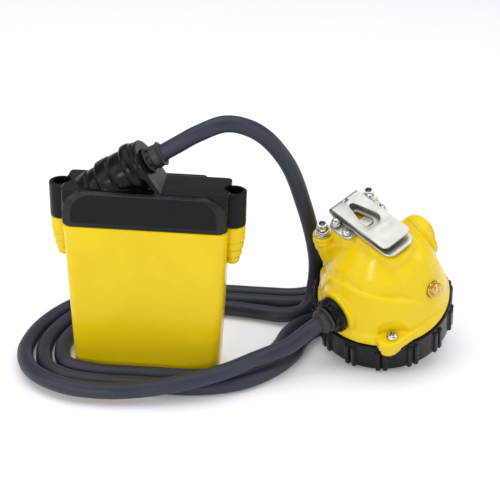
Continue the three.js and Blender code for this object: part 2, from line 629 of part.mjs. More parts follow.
function ledDome() {
  return turned([[0, EMITTER_Z], [2.4, EMITTER_Z + 0.5], [3.4, EMITTER_Z + 1.6],
    [3.6, EMITTER_Z + 3], [4.6, EMITTER_Z + 3], [4.6, EMITTER_Z + EMITTER_HEIGHT],
    [0, EMITTER_Z + EMITTER_HEIGHT]], 16);
}

function ledBoard() {
  const star = solid(rod(9.8, BOARD_Z, BOARD_Z + BOARD_THICK, 24));
  const notches = [0, 1, 2, 3, 4, 5].map((i) =>
    solid(moved(rod(1.7, BOARD_Z - 1, BOARD_Z + 3, 10), ...polar(9.6, i * Math.PI / 3, 0))));
  return cut(star, ...notches);
}

function heatSink() {
  const z = SINK_Z;
  const plate = solid(turned([[0, z], [SINK_RADIUS, z], [SINK_RADIUS, z + 2.2], [12, z + 2.2],
    [11, z + SINK_BOSS], [0, z + SINK_BOSS]], 24));
  const wireHole = solid(moved(rod(2.6, z - 1, z + 4, 12), ...polar(19, GLAND_ANGLE + 1.2, 0)));
  return cut(plate, wireHole);
}

function driverBoard() {
  const z = SINK_Z + SINK_BOSS + GAP;
  const chips = [[-9, -3, -4, 4, 2.4], [2, 8, -8, -2, 1.8], [1, 6, 3, 8, 3.6]].map(
    ([x0, x1, y0, y1, high]) => solid(block(x0, x1, y0, y1, z + 1, z + 1.6 + high)));
  return join(solid(rod(13.5, z, z + BOARD_THICK, 24)), ...chips);
}

// ---------- switch ----------
// smooth domed cap; two finger scoops on its outer face leave a grip bar between them
function switchKnob() {
  const r = KNOB_RADIUS;
  const cap = solid(turned([[0, 2], [r - 0.6, 2], [r, 2.6], [r, 4.4], [r * 0.95, 6.6],
    [r * 0.82, 9], [r * 0.6, 11], [r * 0.3, 12.1], [0, 12.4]], 28));
  const scoops = [-1, 1].map((side) =>
    solid(moved(rod(7.4, -7.6, 7.6, 20).rotateY(Math.PI / 2), 0, side * 9.2, 13.4)));
  const socket = solid(rod(SHAFT_RADIUS + GAP, 1, 7, 14));
  const shape = geometryOf(cut(cap, ...scoops, socket)).rotateZ(SCOOP_TURN);
  return aimed(shape, KNOB_CENTRE, knobOut);
}

const switchShaft = () => aimed(rod(SHAFT_RADIUS, -13, 6.6, 14), KNOB_CENTRE, knobOut);

function switchBody() {
  const box = solid(block(-5.5, 5.5, -5.5, 5.5, -20.5, -13.5));
  const bushing = solid(rod(BUSHING_RADIUS, -14, 1.4, 14));
  const throat = solid(rod(SHAFT_RADIUS + GAP, -15, 2, 14));
  return aimed(geometryOf(cut(join(box, bushing), throat)), KNOB_CENTRE, knobOut);
}

// ---------- hat clip ----------
function clipOutline(u0, u1, corner) {
  return roundedBox(u0, u1, -CLIP_WIDTH / 2, CLIP_WIDTH / 2, corner);
}

function keyhole(wideU, wideR, narrowU, narrowR) {
  const hole = new THREE.Path();
  const lean = Math.asin((wideR - narrowR) / (narrowU - wideU));
  hole.absarc(wideU, 0, wideR, Math.PI / 2 - lean, Math.PI * 1.5 + lean);
  hole.absarc(narrowU, 0, narrowR, -Math.PI / 2 + lean, Math.PI / 2 - lean);
  return hole;
}

// one strip of spring steel: plate below, blade above, and a half-round fold between them
function hookClip() {
  const bladeZ = PLATE_Z + CLIP_THICK + CLIP_SLOT;
  const foldRadius = (CLIP_SLOT + 2 * CLIP_THICK) / 2;
  const foldU = CLIP_FOLD_U - foldRadius;
  const plate = clipOutline(PLATE_END_U, foldU + 0.6, 5);
  const blade = clipOutline(BLADE_END_U, foldU + 0.6, 3);
  blade.holes.push(keyhole(9, 5.2, 21.5, 1.9));
  const plateHole = new THREE.Path();
  plateHole.absarc(10, 0, 2.6, 0, 2 * Math.PI, true);
  plate.holes.push(plateHole);
  const square = block(foldU - 6, foldU, -CLIP_WIDTH / 2, CLIP_WIDTH / 2, PLATE_Z, PLATE_Z + CLIP_THICK);
  const upper = block(foldU - 3, foldU, -CLIP_WIDTH / 2, CLIP_WIDTH / 2, bladeZ, bladeZ + CLIP_THICK);
  const bend = new THREE.Shape();
  bend.absarc(foldU, PLATE_Z + foldRadius, foldRadius, -Math.PI / 2, Math.PI / 2);
  bend.absarc(foldU, PLATE_Z + foldRadius, foldRadius - CLIP_THICK, Math.PI / 2, -Math.PI / 2, true);
  const fold = new THREE.ExtrudeGeometry(bend, { depth: CLIP_WIDTH, bevelEnabled: false, curveSegments: 6 })
    .rotateX(Math.PI / 2);
  const notch = block(foldU - 1, foldU + 5, -1.6, 1.6, PLATE_Z + foldRadius + 0.4, bladeZ + 4);
  const strip = cut(join(solid(raised(plate, PLATE_Z, PLATE_Z + CLIP_THICK)), solid(square),
    solid(raised(blade, bladeZ, bladeZ + CLIP_THICK)), solid(upper),
    solid(moved(fold, 0, CLIP_WIDTH / 2, 0))), solid(notch));
  return geometryOf(strip).rotateZ(CLIP_ANGLE);
}

// flat steel saddle under the clip, with an ear for each screw
function clipBracket() {
  const z0 = HOUSING_TOP + GAP;
  const shape = roundedBox(8.5, 24, -15, 15, 3);
  const geometry = solid(raised(shape, z0, PLATE_Z - GAP));
  const holes = [-1, 1].flatMap((side) => [
    solid(moved(rod(1.4 + GAP, z0 - 1, z0 + 4, 12), CLIP_SCREW_U, side * CLIP_SCREW_V, 0)),
    solid(moved(rod(1.4 + GAP, z0 - 1, z0 + 4, 12), BRACKET_SCREW_U, side * BRACKET_SCREW_V, 0)),
  ]);
  return geometryOf(cut(geometry, ...holes)).rotateZ(CLIP_ANGLE);
}

// pan-head screw with a cross recess, head seat at z = 0
function panScrew(headRadius, headHeight, shank, length) {
  const body = solid(turned([[0, -length], [shank * 0.7, -length], [shank, -length + 0.8], [shank, 0],
    [headRadius, 0], [headRadius, headHeight * 0.5], [headRadius * 0.7, headHeight], [0, headHeight]], 10));
  const slot = headRadius * 0.55;
  const cross = join(solid(block(-slot, slot, -0.4, 0.4, headHeight * 0.4, headHeight + 1)),
    solid(block(-0.4, 0.4, -slot, slot, headHeight * 0.4, headHeight + 1)));
  return cut(body, cross);
}

function screwAt(name, point, head = [2.4, 1.6, 1.4, 6.5]) {
  return mesh(name, moved(geometryOf(panScrew(...head)), ...point), STEEL);
}

// ---------- charging posts and stud ----------
const chargingPost = () => turned([[0, 30], [1.9, 30], [1.9, POST_BOSS_TOP + GAP],
  [2.7, POST_BOSS_TOP + GAP], [2.7, POST_BOSS_TOP + 8.6], [2.4, POST_BOSS_TOP + 9],
  [1.7, POST_BOSS_TOP + 9], [1.7, POST_BOSS_TOP + 3], [0, POST_BOSS_TOP + 3]], 16);

const postNut = () => cut(
  join(solid(rod(4.3, POST_BOSS_TOP + GAP, POST_BOSS_TOP + 1.2, 20)),
    solid(rod(4.1, POST_BOSS_TOP + 1, POST_BOSS_TOP + 3.6, 6))),
  solid(rod(2.7 + GAP, POST_BOSS_TOP, POST_BOSS_TOP + 5, 16)));

const contactStud = () => aimed(turned([[0, 24], [2.2, 24], [2.2, 32.1], [4.2, 32.1], [4.2, 33.3],
  [3.6, 33.7], [3.6, 36], [3.1, 36.6], [0, 36.6]], 18), [0, 0, STUD_HEIGHT], studOut);

// ---------- gland ----------
function glandNut() {
  const z = GLAND_FACE + GAP;
  const body = solid(turned([[CABLE_CORE, z], [9.8, z], [9.8, z + 2.6], [8.4, z + 3], [8.4, z + 5],
    [6.6, z + 5.6], [CABLE_CORE, z + 5.6], [CABLE_CORE, z]], 24));
  const ribs = Array.from({ length: 12 }, (_, i) =>
    solid(block(8, 9.6, -0.9, 0.9, z + 2, z + 5).rotateZ(i * Math.PI / 6)));
  const whole = geometryOf(join(body, ...ribs));
  return aimed(whole, [0, 0, GLAND_HEIGHT], glandOut);
}

function glandSleeve() {
  const z = GLAND_FACE + 5.6 + 2 * GAP;
  const end = GLAND_FACE + GLAND_LENGTH;
  return aimed(turned([[CABLE_CORE, z], [7.4, z], [7.4, z + 1.6], [6, z + 2.1], [6, z + 3.2],
    [6.6, z + 3.6], [6.4, end], [CABLE_CORE, end], [CABLE_CORE, z]], 16), [0, 0, GLAND_HEIGHT], glandOut);
}

// ---------- assembly ----------
const lamp = new THREE.Group();

const battery = new THREE.Group();
battery.add(
  mesh('battery_case', batteryCase(), YELLOW),
  mesh('battery_cover', batteryCover(), BLACK_ABS),
  mesh('cover_gasket', coverGasket(), RUBBER),
);
[['left', -1], ['right', 1]].forEach(([side, sign]) => {
  const screw = mesh(`cover_screw_${side}`, coverScrew(), STEEL);
  screw.position.set(sign * EAR_X, EAR_Y, 0);
  battery.add(screw);
});
for (let i = 0; i < CELL_COUNT; i += 1) {
  const one = mesh(`cell_${i + 1}`, cell(), CELL_WRAP);
  one.position.set(cellX(i), 0, 0);
  battery.add(one);
}
battery.add(
  mesh('lower_cell_tray', cellTray(LOWER_TRAY_HALF, 3 + GAP, 12, CELL_Z - GAP, 13), FOAM),
  mesh('upper_cell_tray', cellTray(UPPER_TRAY_HALF, CELL_TOP - 7, CELL_TOP - 0.4,
    CELL_TOP - 8, CELL_TOP + 1), FOAM),
  mesh('nickel_strip', nickelStrip(CELL_TOP + 1.1, CELL_TOP + 1.6), NICKEL),
  mesh('protection_board', protectionBoard(), BOARD),
);
lamp.add(battery);

lamp.add(
  mesh('tower_collar', aimed(towerCollar(), alongCable(GAP), cableOut), RUBBER),
  mesh('cable', cable(), RUBBER),
);

const headpiece = new THREE.Group();
headpiece.position.set(...HEAD_PLACE);
headpiece.rotation.set(HEAD_TILT, 0, HEAD_TURN, 'ZYX');
headpiece.add(
  mesh('headpiece_housing', headpieceHousing(), YELLOW),
  mesh('bezel_ring', bezelRing(), BLACK_ABS),
  mesh('lens_gasket', ring(31.2, 33.8, GASKET_Z0, REFLECTOR_RIM - GAP, 28), RUBBER),
  mesh('lens', turned([[0, LENS_Z0], [LENS_RADIUS, LENS_Z0], [LENS_RADIUS, LENS_Z0 + LENS_THICK],
    [0, LENS_Z0 + LENS_THICK]], 40), CLEAR),
  mesh('reflector', reflector(), MIRROR),
  mesh('led_emitter', ledDome(), EMITTER),
  mesh('led_board', ledBoard(), ALUMINIUM),
  mesh('heat_sink', heatSink(), ALUMINIUM),
  mesh('driver_board', driverBoard(), BOARD),
  mesh('switch_knob', switchKnob(), YELLOW),
  mesh('switch_shaft', switchShaft(), STEEL),
  mesh('switch_body', switchBody(), BLACK_ABS),
  mesh('hook_clip', hookClip(), STEEL),
  mesh('clip_bracket', clipBracket(), STEEL),
  mesh('contact_stud', contactStud(), BRASS),
  mesh('gland_nut', glandNut(), BLACK_ABS),
  mesh('gland_sleeve', glandSleeve(), RUBBER),
  screwAt('bezel_lock_screw', polar(LUG_SCREW_RADIUS, LUG_ANGLE, 6.4 + GAP), [3, 1.9, 1.7, 12]),
);
[['near', 1], ['far', -1]].forEach(([side, sign]) => {
  const post = mesh(`charging_post_${side}`, chargingPost(), STEEL);
  const nut = mesh(`post_nut_${side}`, postNut(), STEEL);
  [post, nut].forEach((piece) => piece.position.set(...clipPoint(POST_U, sign * POST_V, 0)));
  headpiece.add(post, nut,
    screwAt(`clip_screw_${side}`, clipPoint(CLIP_SCREW_U, sign * CLIP_SCREW_V, PLATE_Z)),
    screwAt(`bracket_screw_${side}`, clipPoint(BRACKET_SCREW_U, sign * BRACKET_SCREW_V, PLATE_Z)));
});
lamp.add(headpiece);

export default lamp;
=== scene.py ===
from math import asin, ceil, cos, degrees, floor, pi, radians, sin, sqrt

import bmesh
import bpy
from mathutils import Matrix, Vector


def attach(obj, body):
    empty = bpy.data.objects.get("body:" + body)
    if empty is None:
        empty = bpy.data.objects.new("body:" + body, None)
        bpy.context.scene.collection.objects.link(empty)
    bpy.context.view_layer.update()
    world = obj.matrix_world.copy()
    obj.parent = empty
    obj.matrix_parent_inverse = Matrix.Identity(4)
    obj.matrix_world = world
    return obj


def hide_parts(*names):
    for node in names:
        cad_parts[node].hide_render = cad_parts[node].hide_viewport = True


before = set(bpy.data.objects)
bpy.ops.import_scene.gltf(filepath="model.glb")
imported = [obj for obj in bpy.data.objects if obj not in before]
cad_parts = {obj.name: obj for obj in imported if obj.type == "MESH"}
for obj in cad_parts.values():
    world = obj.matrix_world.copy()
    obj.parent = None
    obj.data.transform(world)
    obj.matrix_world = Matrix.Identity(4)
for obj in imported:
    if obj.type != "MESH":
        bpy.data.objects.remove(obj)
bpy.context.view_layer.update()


# --- The camera ---
# The photograph was taken with a long lens from a little under 0.6 m, above the lamp and slightly to
# its right. The camera leaned a little, so the lamp's right side sits lower in the picture.

VIEW_CENTRE = Vector((0.052, -0.0016, 0.0706))
VIEW_DISTANCE = 0.579
VIEW_HEIGHT, VIEW_SIDE, VIEW_LEAN = (radians(angle) for angle in (26.7, 3.4, 1.9))
LENS_MM = 82.8

towards = Vector((sin(VIEW_SIDE) * cos(VIEW_HEIGHT),
                  -cos(VIEW_SIDE) * cos(VIEW_HEIGHT),
                  sin(VIEW_HEIGHT)))
level = Vector((cos(VIEW_SIDE), sin(VIEW_SIDE), 0))
level_up = towards.cross(level)
right = level * cos(VIEW_LEAN) + level_up * sin(VIEW_LEAN)


def in_scene(name, data):
    """A new object with this data."""
    thing = bpy.data.objects.new(name, data)
    bpy.context.collection.objects.link(thing)
    return thing


def axes(x, y, z):
    """Takes a shape's X, Y and Z to these directions."""
    return Matrix((x, y, z)).transposed().to_4x4()


camera_data = bpy.data.cameras.new("photograph_view")
camera_data.lens = LENS_MM
camera_data.sensor_width = 36
camera_data.clip_start = 0.01
camera = in_scene("photograph_view", camera_data)
camera.matrix_world = (Matrix.Translation(VIEW_CENTRE + VIEW_DISTANCE * towards)
                       @ axes(right, towards.cross(right), towards))
bpy.context.scene.camera = camera


# --- The table and the light ---
# A white table top and a white sweep behind it, as in a product photographer's tent. A large soft box
# hangs above, and smaller ones stand at the sides, so the shadows are soft. The shade is faintly violet.

def linear(hex_colour):
    """The linear colour of an sRGB hex value."""
    channels = [int(hex_colour[i:i + 2], 16) / 255 for i in (1, 3, 5)]
    return [c / 12.92 if c <= 0.04045 else ((c + 0.055) / 1.055) ** 2.4 for c in channels] + [1]


def adder(tree):
    """The function that adds a node to this tree. Values after the kind go to its first sockets, in their
    order. A setting named after a property is stored, and any other names a socket, with _ for a space.
    A hex colour becomes linear. A node or an output is linked."""
    def add(kind, *values, **settings):
        node = tree.nodes.new("ShaderNode" + kind)
        sockets = dict(enumerate(values))
        for name, value in settings.items():
            if name in node.bl_rna.properties:
                setattr(node, name, value)
            else:
                sockets[name.replace("_", " ")] = value
        for key, value in sockets.items():
            if isinstance(value, str):
                value = linear(value)
            if isinstance(value, bpy.types.Node):
                value = value.outputs[0]
            if isinstance(value, bpy.types.NodeSocket):
                tree.links.new(value, node.inputs[key])
            else:
                node.inputs[key].default_value = value
        return node

    return add


def bare_material(name):
    """A material with an empty tree, the function that adds to it, and the object's own coordinates."""
    material = bpy.data.materials.new(name)
    material.use_nodes = True
    material.node_tree.nodes.clear()
    add = adder(material.node_tree)
    return material, add, add("TexCoord").outputs["Object"]


def seen_directly(add):
    """1 for what the camera sees itself, also in gloss and through glass, and 0 for light on the lamp."""
    path = add("LightPath").outputs
    seen = add("Math", path["Is Camera Ray"], path["Is Glossy Ray"], operation="MAXIMUM")
    return add("Math", seen, path["Is Transmission Ray"], operation="MAXIMUM")


table_paper, add, _ = bare_material("white_table_paper")
glow = add("Emission", Strength=0.12)
shown = add("MixShader", seen_directly(add), add("BsdfTransparent", (0, 0, 0, 1)), glow)
add("OutputMaterial", add("AddShader", add("BsdfDiffuse", "#F7F7FA"), shown))

TABLE_HALF, TABLE_DROP = 4, 0.0002
table_mesh = bpy.data.meshes.new("table")
table_mesh.from_pydata([(x * TABLE_HALF, y * TABLE_HALF, 0) for x, y in ((-1, -1), (1, -1), (1, 1), (-1, 1))],
                       [], [(0, 1, 2, 3)])
table_mesh.materials.append(table_paper)
table = in_scene("table", table_mesh)
table.location.z = -TABLE_DROP

tent = bpy.data.worlds.new("light_tent")
bpy.context.scene.world = tent
tent.use_nodes = True
tent.node_tree.nodes.clear()
add = adder(tent.node_tree)
shade = add("Background", (0.93, 0.92, 1.0, 1), Strength=0.42)
backdrop = add("Background", (1, 1, 1, 1), Strength=1)
sweep = add("MixShader", seen_directly(add), shade, backdrop)
# in gloss, the white sweep ends a little above the lamp, where the dim room begins
height = add("SeparateXYZ", add("TexCoord").outputs["Generated"]).outputs["Z"]
above = add("MapRange", height, From_Min=0.12, From_Max=0.34, To_Max=0.91)
gloss_above = add("Math", above, add("LightPath").outputs["Is Glossy Ray"], operation="MULTIPLY")
dim_room = add("Background", (0.95, 0.95, 1.0, 1), Strength=0.12)
add("OutputWorld", add("MixShader", gloss_above, sweep, dim_room))

# name, place, size in metres, watts
SOFT_BOXES = [
    ("soft_box_above", (0.05, 0.12, 1.35), (2.1, 1.5), 15.0),
    ("soft_box_left", (-1.0, -0.7, 0.75), (0.7, 0.9), 4.2),
    ("soft_box_right", (1.15, -0.35, 0.65), (0.5, 0.8), 3.4),
    ("soft_box_key", (-0.42, -1.25, 0.42), (0.16, 0.16), 3.3),
]
for name, place, size, watts in SOFT_BOXES:
    lamp_data = bpy.data.lights.new(name, "AREA")
    lamp_data.shape = "RECTANGLE"
    lamp_data.size, lamp_data.size_y = size
    lamp_data.energy = watts
    box = in_scene(name, lamp_data)
    box.location = place
    box.rotation_euler = (VIEW_CENTRE - Vector(place)).to_track_quat("-Z", "Y").to_euler()

bpy.context.scene.view_settings.view_transform = "Standard"


# --- The cable ---
# One length of round mining cable, 8.5 mm across, with a black synthetic rubber sheath. It leaves the
# tower, arches over and behind the headpiece, lies in loops round the battery and ends at the gland.

MM = 0.001
CABLE_RADIUS = 4.25
TOWER_END = Vector((0.3, 1.5, 114.6))
TOWER_RISE = radians(33)
TOWER_AXIS = Vector((cos(TOWER_RISE), 0, sin(TOWER_RISE)))
COLLAR_LENGTH = 8.6
GLAND_FACE, GLAND_LENGTH, GLAND_HEIGHT = 32, 11.5, 10.2
GLAND_ANGLE = radians(-125)
HEAD_TURN, HEAD_TILT = radians(-14), radians(23.5)
HEAD = (Matrix.Translation((122.2, 31.7, 33)) @ Matrix.Rotation(HEAD_TURN, 4, "Z")
        @ Matrix.Rotation(HEAD_TILT, 4, "X"))
FLOOR_RUN = 4.4
LOOP_PITCH, LOOP_POINTS, LOOP_FROM, LOOP_TO, LOOP_MIDDLE = 9.6, 36, 0.085, 2.34, 1.5
LOOP_OUTLINE = [
    (79, 70.6), (50, 68.2), (6, 66.6), (-26, 58.6), (-47, 38.4), (-57, 12), (-56.6, -6),
    (-48.2, -22.8), (-28, -29.6), (0, -29.4), (30, -27.8), (51, -19.8), (66, -5.2), (75, 11),
    (79.7, 28), (89.2, 41), (104, 46.6), (117.8, 52), (124.2, 66), (118.4, 80), (102, 85.4),
]
CABLE_ARCH = [
    (24.4, 3, 129.6), (38.2, 6, 134.4), (53.2, 12, 128.6), (67.8, 22, 109.4), (77.5, 33, 81.4),
    (84, 46, 52.6), (86, 56.6, 32), (85.4, 60, 18), (83.8, 57.6, 9.4), (80.4, 53, 6.6),
    (75.4, 50, 5.7), (67, 49.4, 4.8), (57, 51.8, FLOOR_RUN),
]
CABLE_CLIMB = [
    (-65, -8, 5.2), (-55.8, -27, 6.2), (-36.6, -39, 6.8), (-16, -41.4, 7), (0.6, -39.6, 7.8),
    (15.3, -37.8, 10.2), (28.6, -34.2, 12.4), (44.9, -25.6, 14), (56.6, -15.6, 14.6),
    (66, -10.4, 16.6), (74.6, -7.8, 20),
]


def smooth_curve(points, closed=False):
    """A function of 0 to 1 that runs through the points, as a centripetal Catmull-Rom curve."""
    points = [Vector(p) for p in points]
    count = len(points)

    def at(share):
        place = share * (count if closed else count - 1)
        index = floor(place)
        if not closed:
            index = min(index, count - 2)
        step = place - index
        a, b, c, d = (points[(index + k) % count] for k in (-1, 0, 1, 2))
        if not closed and index == 0:
            a = 2 * b - c
        if not closed and index == count - 2:
            d = 2 * c - b
        before, here, after = (sqrt((q - p).length) for p, q in ((a, b), (b, c), (c, d)))
        leave = ((b - a) / before - (c - a) / (before + here) + (c - b) / here) * here
        arrive = ((c - b) / here - (d - b) / (here + after) + (d - c) / after) * here
        return (b + leave * step + (3 * (c - b) - 2 * leave - arrive) * step ** 2
                + (2 * (b - c) + leave + arrive) * step ** 3)

    return at


def evened(curve, steps=200):
    """The curve's parameter at a share of its length."""
    places = [curve(i / steps) for i in range(steps + 1)]
    reach = [0]
    for here, there in zip(places, places[1:]):
        reach.append(reach[-1] + (there - here).length)

    def at(share):
        goal = share * reach[-1]
        index = max(i for i in range(steps) if reach[i] <= goal)
        return (index + (goal - reach[index]) / (reach[index + 1] - reach[index])) / steps

    return at


def along_cable(distance):
    return TOWER_END + distance * TOWER_AXIS


def gland_point(distance):
    return HEAD @ Vector((distance * cos(GLAND_ANGLE), distance * sin(GLAND_ANGLE),
                          GLAND_HEIGHT))


outline_curve = smooth_curve([(x, y, FLOOR_RUN) for x, y in LOOP_OUTLINE], closed=True)
outline_share = evened(outline_curve)


def loop_point(turn):
    """A point of the loops: the outline at this turn, set out or in by whole and part pitches."""
    share = outline_share(turn % 1)
    ahead, behind = min(share + 1e-4, 1), max(share - 1e-4, 0)
    along = (outline_curve(ahead) - outline_curve(behind)).normalized()
    out = Vector((along.y, -along.x, 0))
    return outline_curve(share) + out * LOOP_PITCH * (turn - LOOP_MIDDLE)


loop_steps = ceil(LOOP_POINTS * (LOOP_TO - LOOP_FROM))
loops = [loop_point(LOOP_FROM + (LOOP_TO - LOOP_FROM) * i / loop_steps) for i in range(loop_steps + 1)]
cable_exit = along_cable(COLLAR_LENGTH + 0.6)
cable_curve = smooth_curve(
    [cable_exit, along_cable(COLLAR_LENGTH + 9)] + CABLE_ARCH + loops + CABLE_CLIMB
    + [gland_point(GLAND_FACE + GLAND_LENGTH + 9), gland_point(GLAND_FACE + GLAND_LENGTH + 0.3)])
CABLE_SAMPLES = 900
cable_line = [cable_curve(i / CABLE_SAMPLES) * MM for i in range(CABLE_SAMPLES + 1)]

cable_data = bpy.data.curves.new("cable_sheath", "CURVE")
cable_data.dimensions = "3D"
cable_data.bevel_depth = CABLE_RADIUS * MM
cable_data.bevel_resolution = 6
cable_data.use_fill_caps = True
run = cable_data.splines.new("POLY")
run.points.add(CABLE_SAMPLES)
for point, place in zip(run.points, cable_line):
    point.co = (*place, 1)
run.use_smooth = True
cable = in_scene("cable_sheath", cable_data)

# Extruded chloroprene rubber: near black with a blue cast, satin, with the faint grain of the die and
# a little chalky dust in patches. The grain is 0.3 mm in life and drawn at 0.8 mm so that it shows.
cable_rubber, add, place = bare_material("extruded_chloroprene_rubber")
patches = add("TexNoise", place, Scale=1 / 0.035, Detail=3, Roughness=0.6)
dusty = add("MapRange", patches, From_Min=0.45, From_Max=0.75, To_Max=0.35)
sheath = add("MixRGB", dusty, "#222835", "#363D4B")
grain = add("TexNoise", place, Scale=1 / 0.0008, Detail=2)
sheen = add("MapRange", patches, From_Min=0.3, From_Max=0.7, To_Min=0.42, To_Max=0.56)
relief = add("Bump", Height=grain, Distance=0.00003, Strength=0.5)
add("OutputMaterial", add("BsdfPrincipled", sheath, Roughness=sheen, Normal=relief, IOR=1.52,
                          Specular_IOR_Level=0.46))
cable_data.materials.append(cable_rubber)

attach(cable, "lamp")
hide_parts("cable")


# --- The battery case ---
# A deep box, moulded in one piece of yellow ABS and a little narrower at its base so that it leaves the
# mould. It has a ribbed ear at each end for the cover's screws, and on its back a bridge for the belt.

CASE_HALF_WIDTH, CASE_FRONT, CASE_BACK, CASE_CORNER, CASE_WALL = 41.3, -13.9, 14.3, 6, 2.3
CASE_DRAFT_X, CASE_DRAFT_Y, CASE_FLOOR, CASE_BASE_EDGE = 3.4, 0.9, 3, 2.4
SEAM_Z = 83.5
EAR_X, EAR_Y, PILOT_RADIUS, PILOT_LOW, PILOT_HIGH = 43, 0.9, 2.3, 69, 90
EARS = [Matrix.Translation((side * EAR_X, EAR_Y, 0)) for side in (-1, 1)]
EAR_RIBS = [
    (1.6, 61.6), (3.1, 62.4), (3.9, 64.4), (3.7, 65.9), (4.7, 67), (4.9, 69), (4.6, 70.1), (5.6, 71.2),
    (5.8, 73.4), (5.4, 74.5), (6.2, 75.6), (6.3, 78), (6.3, SEAM_Z),
]
BRIDGE_HALF, BRIDGE_OUT, BRIDGE_THICK, BRIDGE_LOW, BRIDGE_HIGH, BRIDGE_FOOT = 17, 22.5, 3, 13, 75, 5


def arc(x, y, reach_x, reach_y, first, last, steps):
    """Points along an ellipse's arc about x, y, from one angle to another in degrees."""
    return [(x + reach_x * cos(a), y + reach_y * sin(a))
            for a in (radians(first + (last - first) * k / steps) for k in range(steps + 1))]


def rounded_box(x0, x1, y0, y1, radius, steps=8):
    """Points round a box with rounded corners, anticlockwise."""
    left, right, near, far = x0 + radius, x1 - radius, y0 + radius, y1 - radius
    corners = ((right, near, -90), (right, far, 0), (left, far, 90), (left, near, 180))
    return [point for x, y, start in corners for point in arc(x, y, radius, radius, start, start + 90, steps)]


def skinned(rings, ring_closed=False):
    """A closed shape through rings of points: flat at both ends, or joined end to end."""
    work = bmesh.new()
    rows = [[work.verts.new(point) for point in ring] for ring in rings]
    pairs = list(zip(rows, rows[1:])) + ([(rows[-1], rows[0])] if ring_closed else [])
    for lower, upper in pairs:
        for i in range(len(lower)):
            work.faces.new((lower[i - 1], lower[i], upper[i], upper[i - 1]))
    if not ring_closed:
        work.faces.new(rows[0])
        work.faces.new(rows[-1])
    bmesh.ops.recalc_face_normals(work, faces=work.faces)
    return work


def eased(corners, radius, closed=False, steps=4):
    """The same line of corners with each one rounded off."""
    corners = [Vector(corner) for corner in corners]
    if closed:
        corners = [corners[-1]] + corners + [corners[0]]
    line = [] if closed else [corners[0]]
    for before, corner, after in zip(corners, corners[1:], corners[2:]):
        start, end = (corner + (other - corner) * min(radius / (other - corner).length, 0.45)
                      for other in (before, after))
        for k in range(steps + 1):
            share = k / steps
            line.append(start * (1 - share) ** 2 + corner * 2 * share * (1 - share) + end * share ** 2)
    return line if closed else line + [corners[-1]]


def turned(profile, sides=64, edge=0.25, hollow=False, base=0):
    """A shape turned round Z from pairs of a radius and a height over the base. A hollow one never reaches
    the axis."""
    line = [Vector((r, base + z)) for r, z in profile]
    line = eased(line, edge, closed=hollow) if edge else line
    angles = [2 * pi * i / sides for i in range(sides)]
    return skinned([[(max(r, 0.02) * cos(a), max(r, 0.02) * sin(a), z) for a in angles]
                    for r, z in line], ring_closed=hollow)


def rod(radius, low, high, place=Matrix(), sides=40, edge=0):
    """A round bar between two heights, which is also the tool for a bore."""
    return placed(turned([(0, low), (radius, low), (radius, high), (0, high)], sides, edge), place)


def inset(outline, distance):
    """The outline moved inward."""
    moved = []
    for before, here, after in zip(outline[-1:] + outline[:-1], outline, outline[1:] + outline[:1]):
        arrive, leave = (here - before).normalized(), (after - here).normalized()
        inward = Vector((-(arrive + leave).y, (arrive + leave).x)).normalized()
        moved.append(here + inward * distance / max(inward.dot(Vector((-arrive.y, arrive.x))), 0.5))
    return moved


def slab(outline, z0, z1, edge=0.3):
    """A plate of this outline with rounded edges."""
    outline = [Vector(point) for point in outline]
    levels = [(edge, z0), (0.3 * edge, z0 + 0.3 * edge), (0, z0 + edge),
              (0, z1 - edge), (0.3 * edge, z1 - 0.3 * edge), (edge, z1)]
    return skinned([[(x, y, z) for x, y in inset(outline, step)] for step, z in levels])


def block(x0, x1, y0, y1, z0, z1):
    return skinned([[(x0, y0, z), (x1, y0, z), (x1, y1, z), (x0, y1, z)] for z in (z0, z1)])


def placed(work, *matrices):
    """The shape moved by each matrix in turn."""
    for matrix in matrices:
        bmesh.ops.transform(work, matrix=matrix, verts=work.verts)
    return work


def gathered(*works):
    """Several shapes as one mesh, which may run through each other."""
    whole = bmesh.new()
    for work in works:
        part = bpy.data.meshes.new("part")
        work.to_mesh(part)
        whole.from_mesh(part)
        bpy.data.meshes.remove(part)
    return whole


def standing(work):
    """A shape as a bare object, for a modifier to work on."""
    mesh = bpy.data.meshes.new("blank")
    work.to_mesh(mesh)
    return in_scene("blank", mesh)


def worked(blank, *modifiers):
    """The shape of an object after modifiers, each given as its type and settings."""
    for kind, settings in modifiers:
        modifier = blank.modifiers.new(kind, kind)
        for name, value in settings.items():
            setattr(modifier, name, value)
    work = bmesh.new()
    work.from_object(blank, bpy.context.evaluated_depsgraph_get())
    bpy.data.objects.remove(blank)
    return work


def carved(work, *tools, operation="DIFFERENCE"):
    """The shape with each tool cut away from it, or added to it, or with only what they share kept."""
    for tool in tools:
        cutter = standing(tool)
        work = worked(standing(work), ("BOOLEAN", {"operation": operation, "solver": "EXACT",
                                                   "object": cutter}))
        bpy.data.objects.remove(cutter)
    return work


def moulded(work, grain, passes):
    """One continuous skin over the shapes, with its edges and inner corners softened."""
    return worked(standing(work), ("REMESH", {"mode": "VOXEL", "voxel_size": grain}),
                  ("SMOOTH", {"factor": 0.5, "iterations": passes}))


def fitted(name, work, material, node, place=Matrix(), body="lamp"):
    """Sets the shape in its place, as the piece that stands for the CAD node. Edges over 32 degrees stay
    sharp."""
    mesh = bpy.data.meshes.new(name)
    work.transform(Matrix.Scale(MM, 4) @ place)
    work.to_mesh(mesh)
    mesh.polygons.foreach_set("use_smooth", [True] * len(mesh.polygons))
    mesh.set_sharp_from_angle(angle=radians(32))
    mesh.materials.append(material)
    piece = in_scene(name, mesh)
    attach(piece, body)
    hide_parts(node)


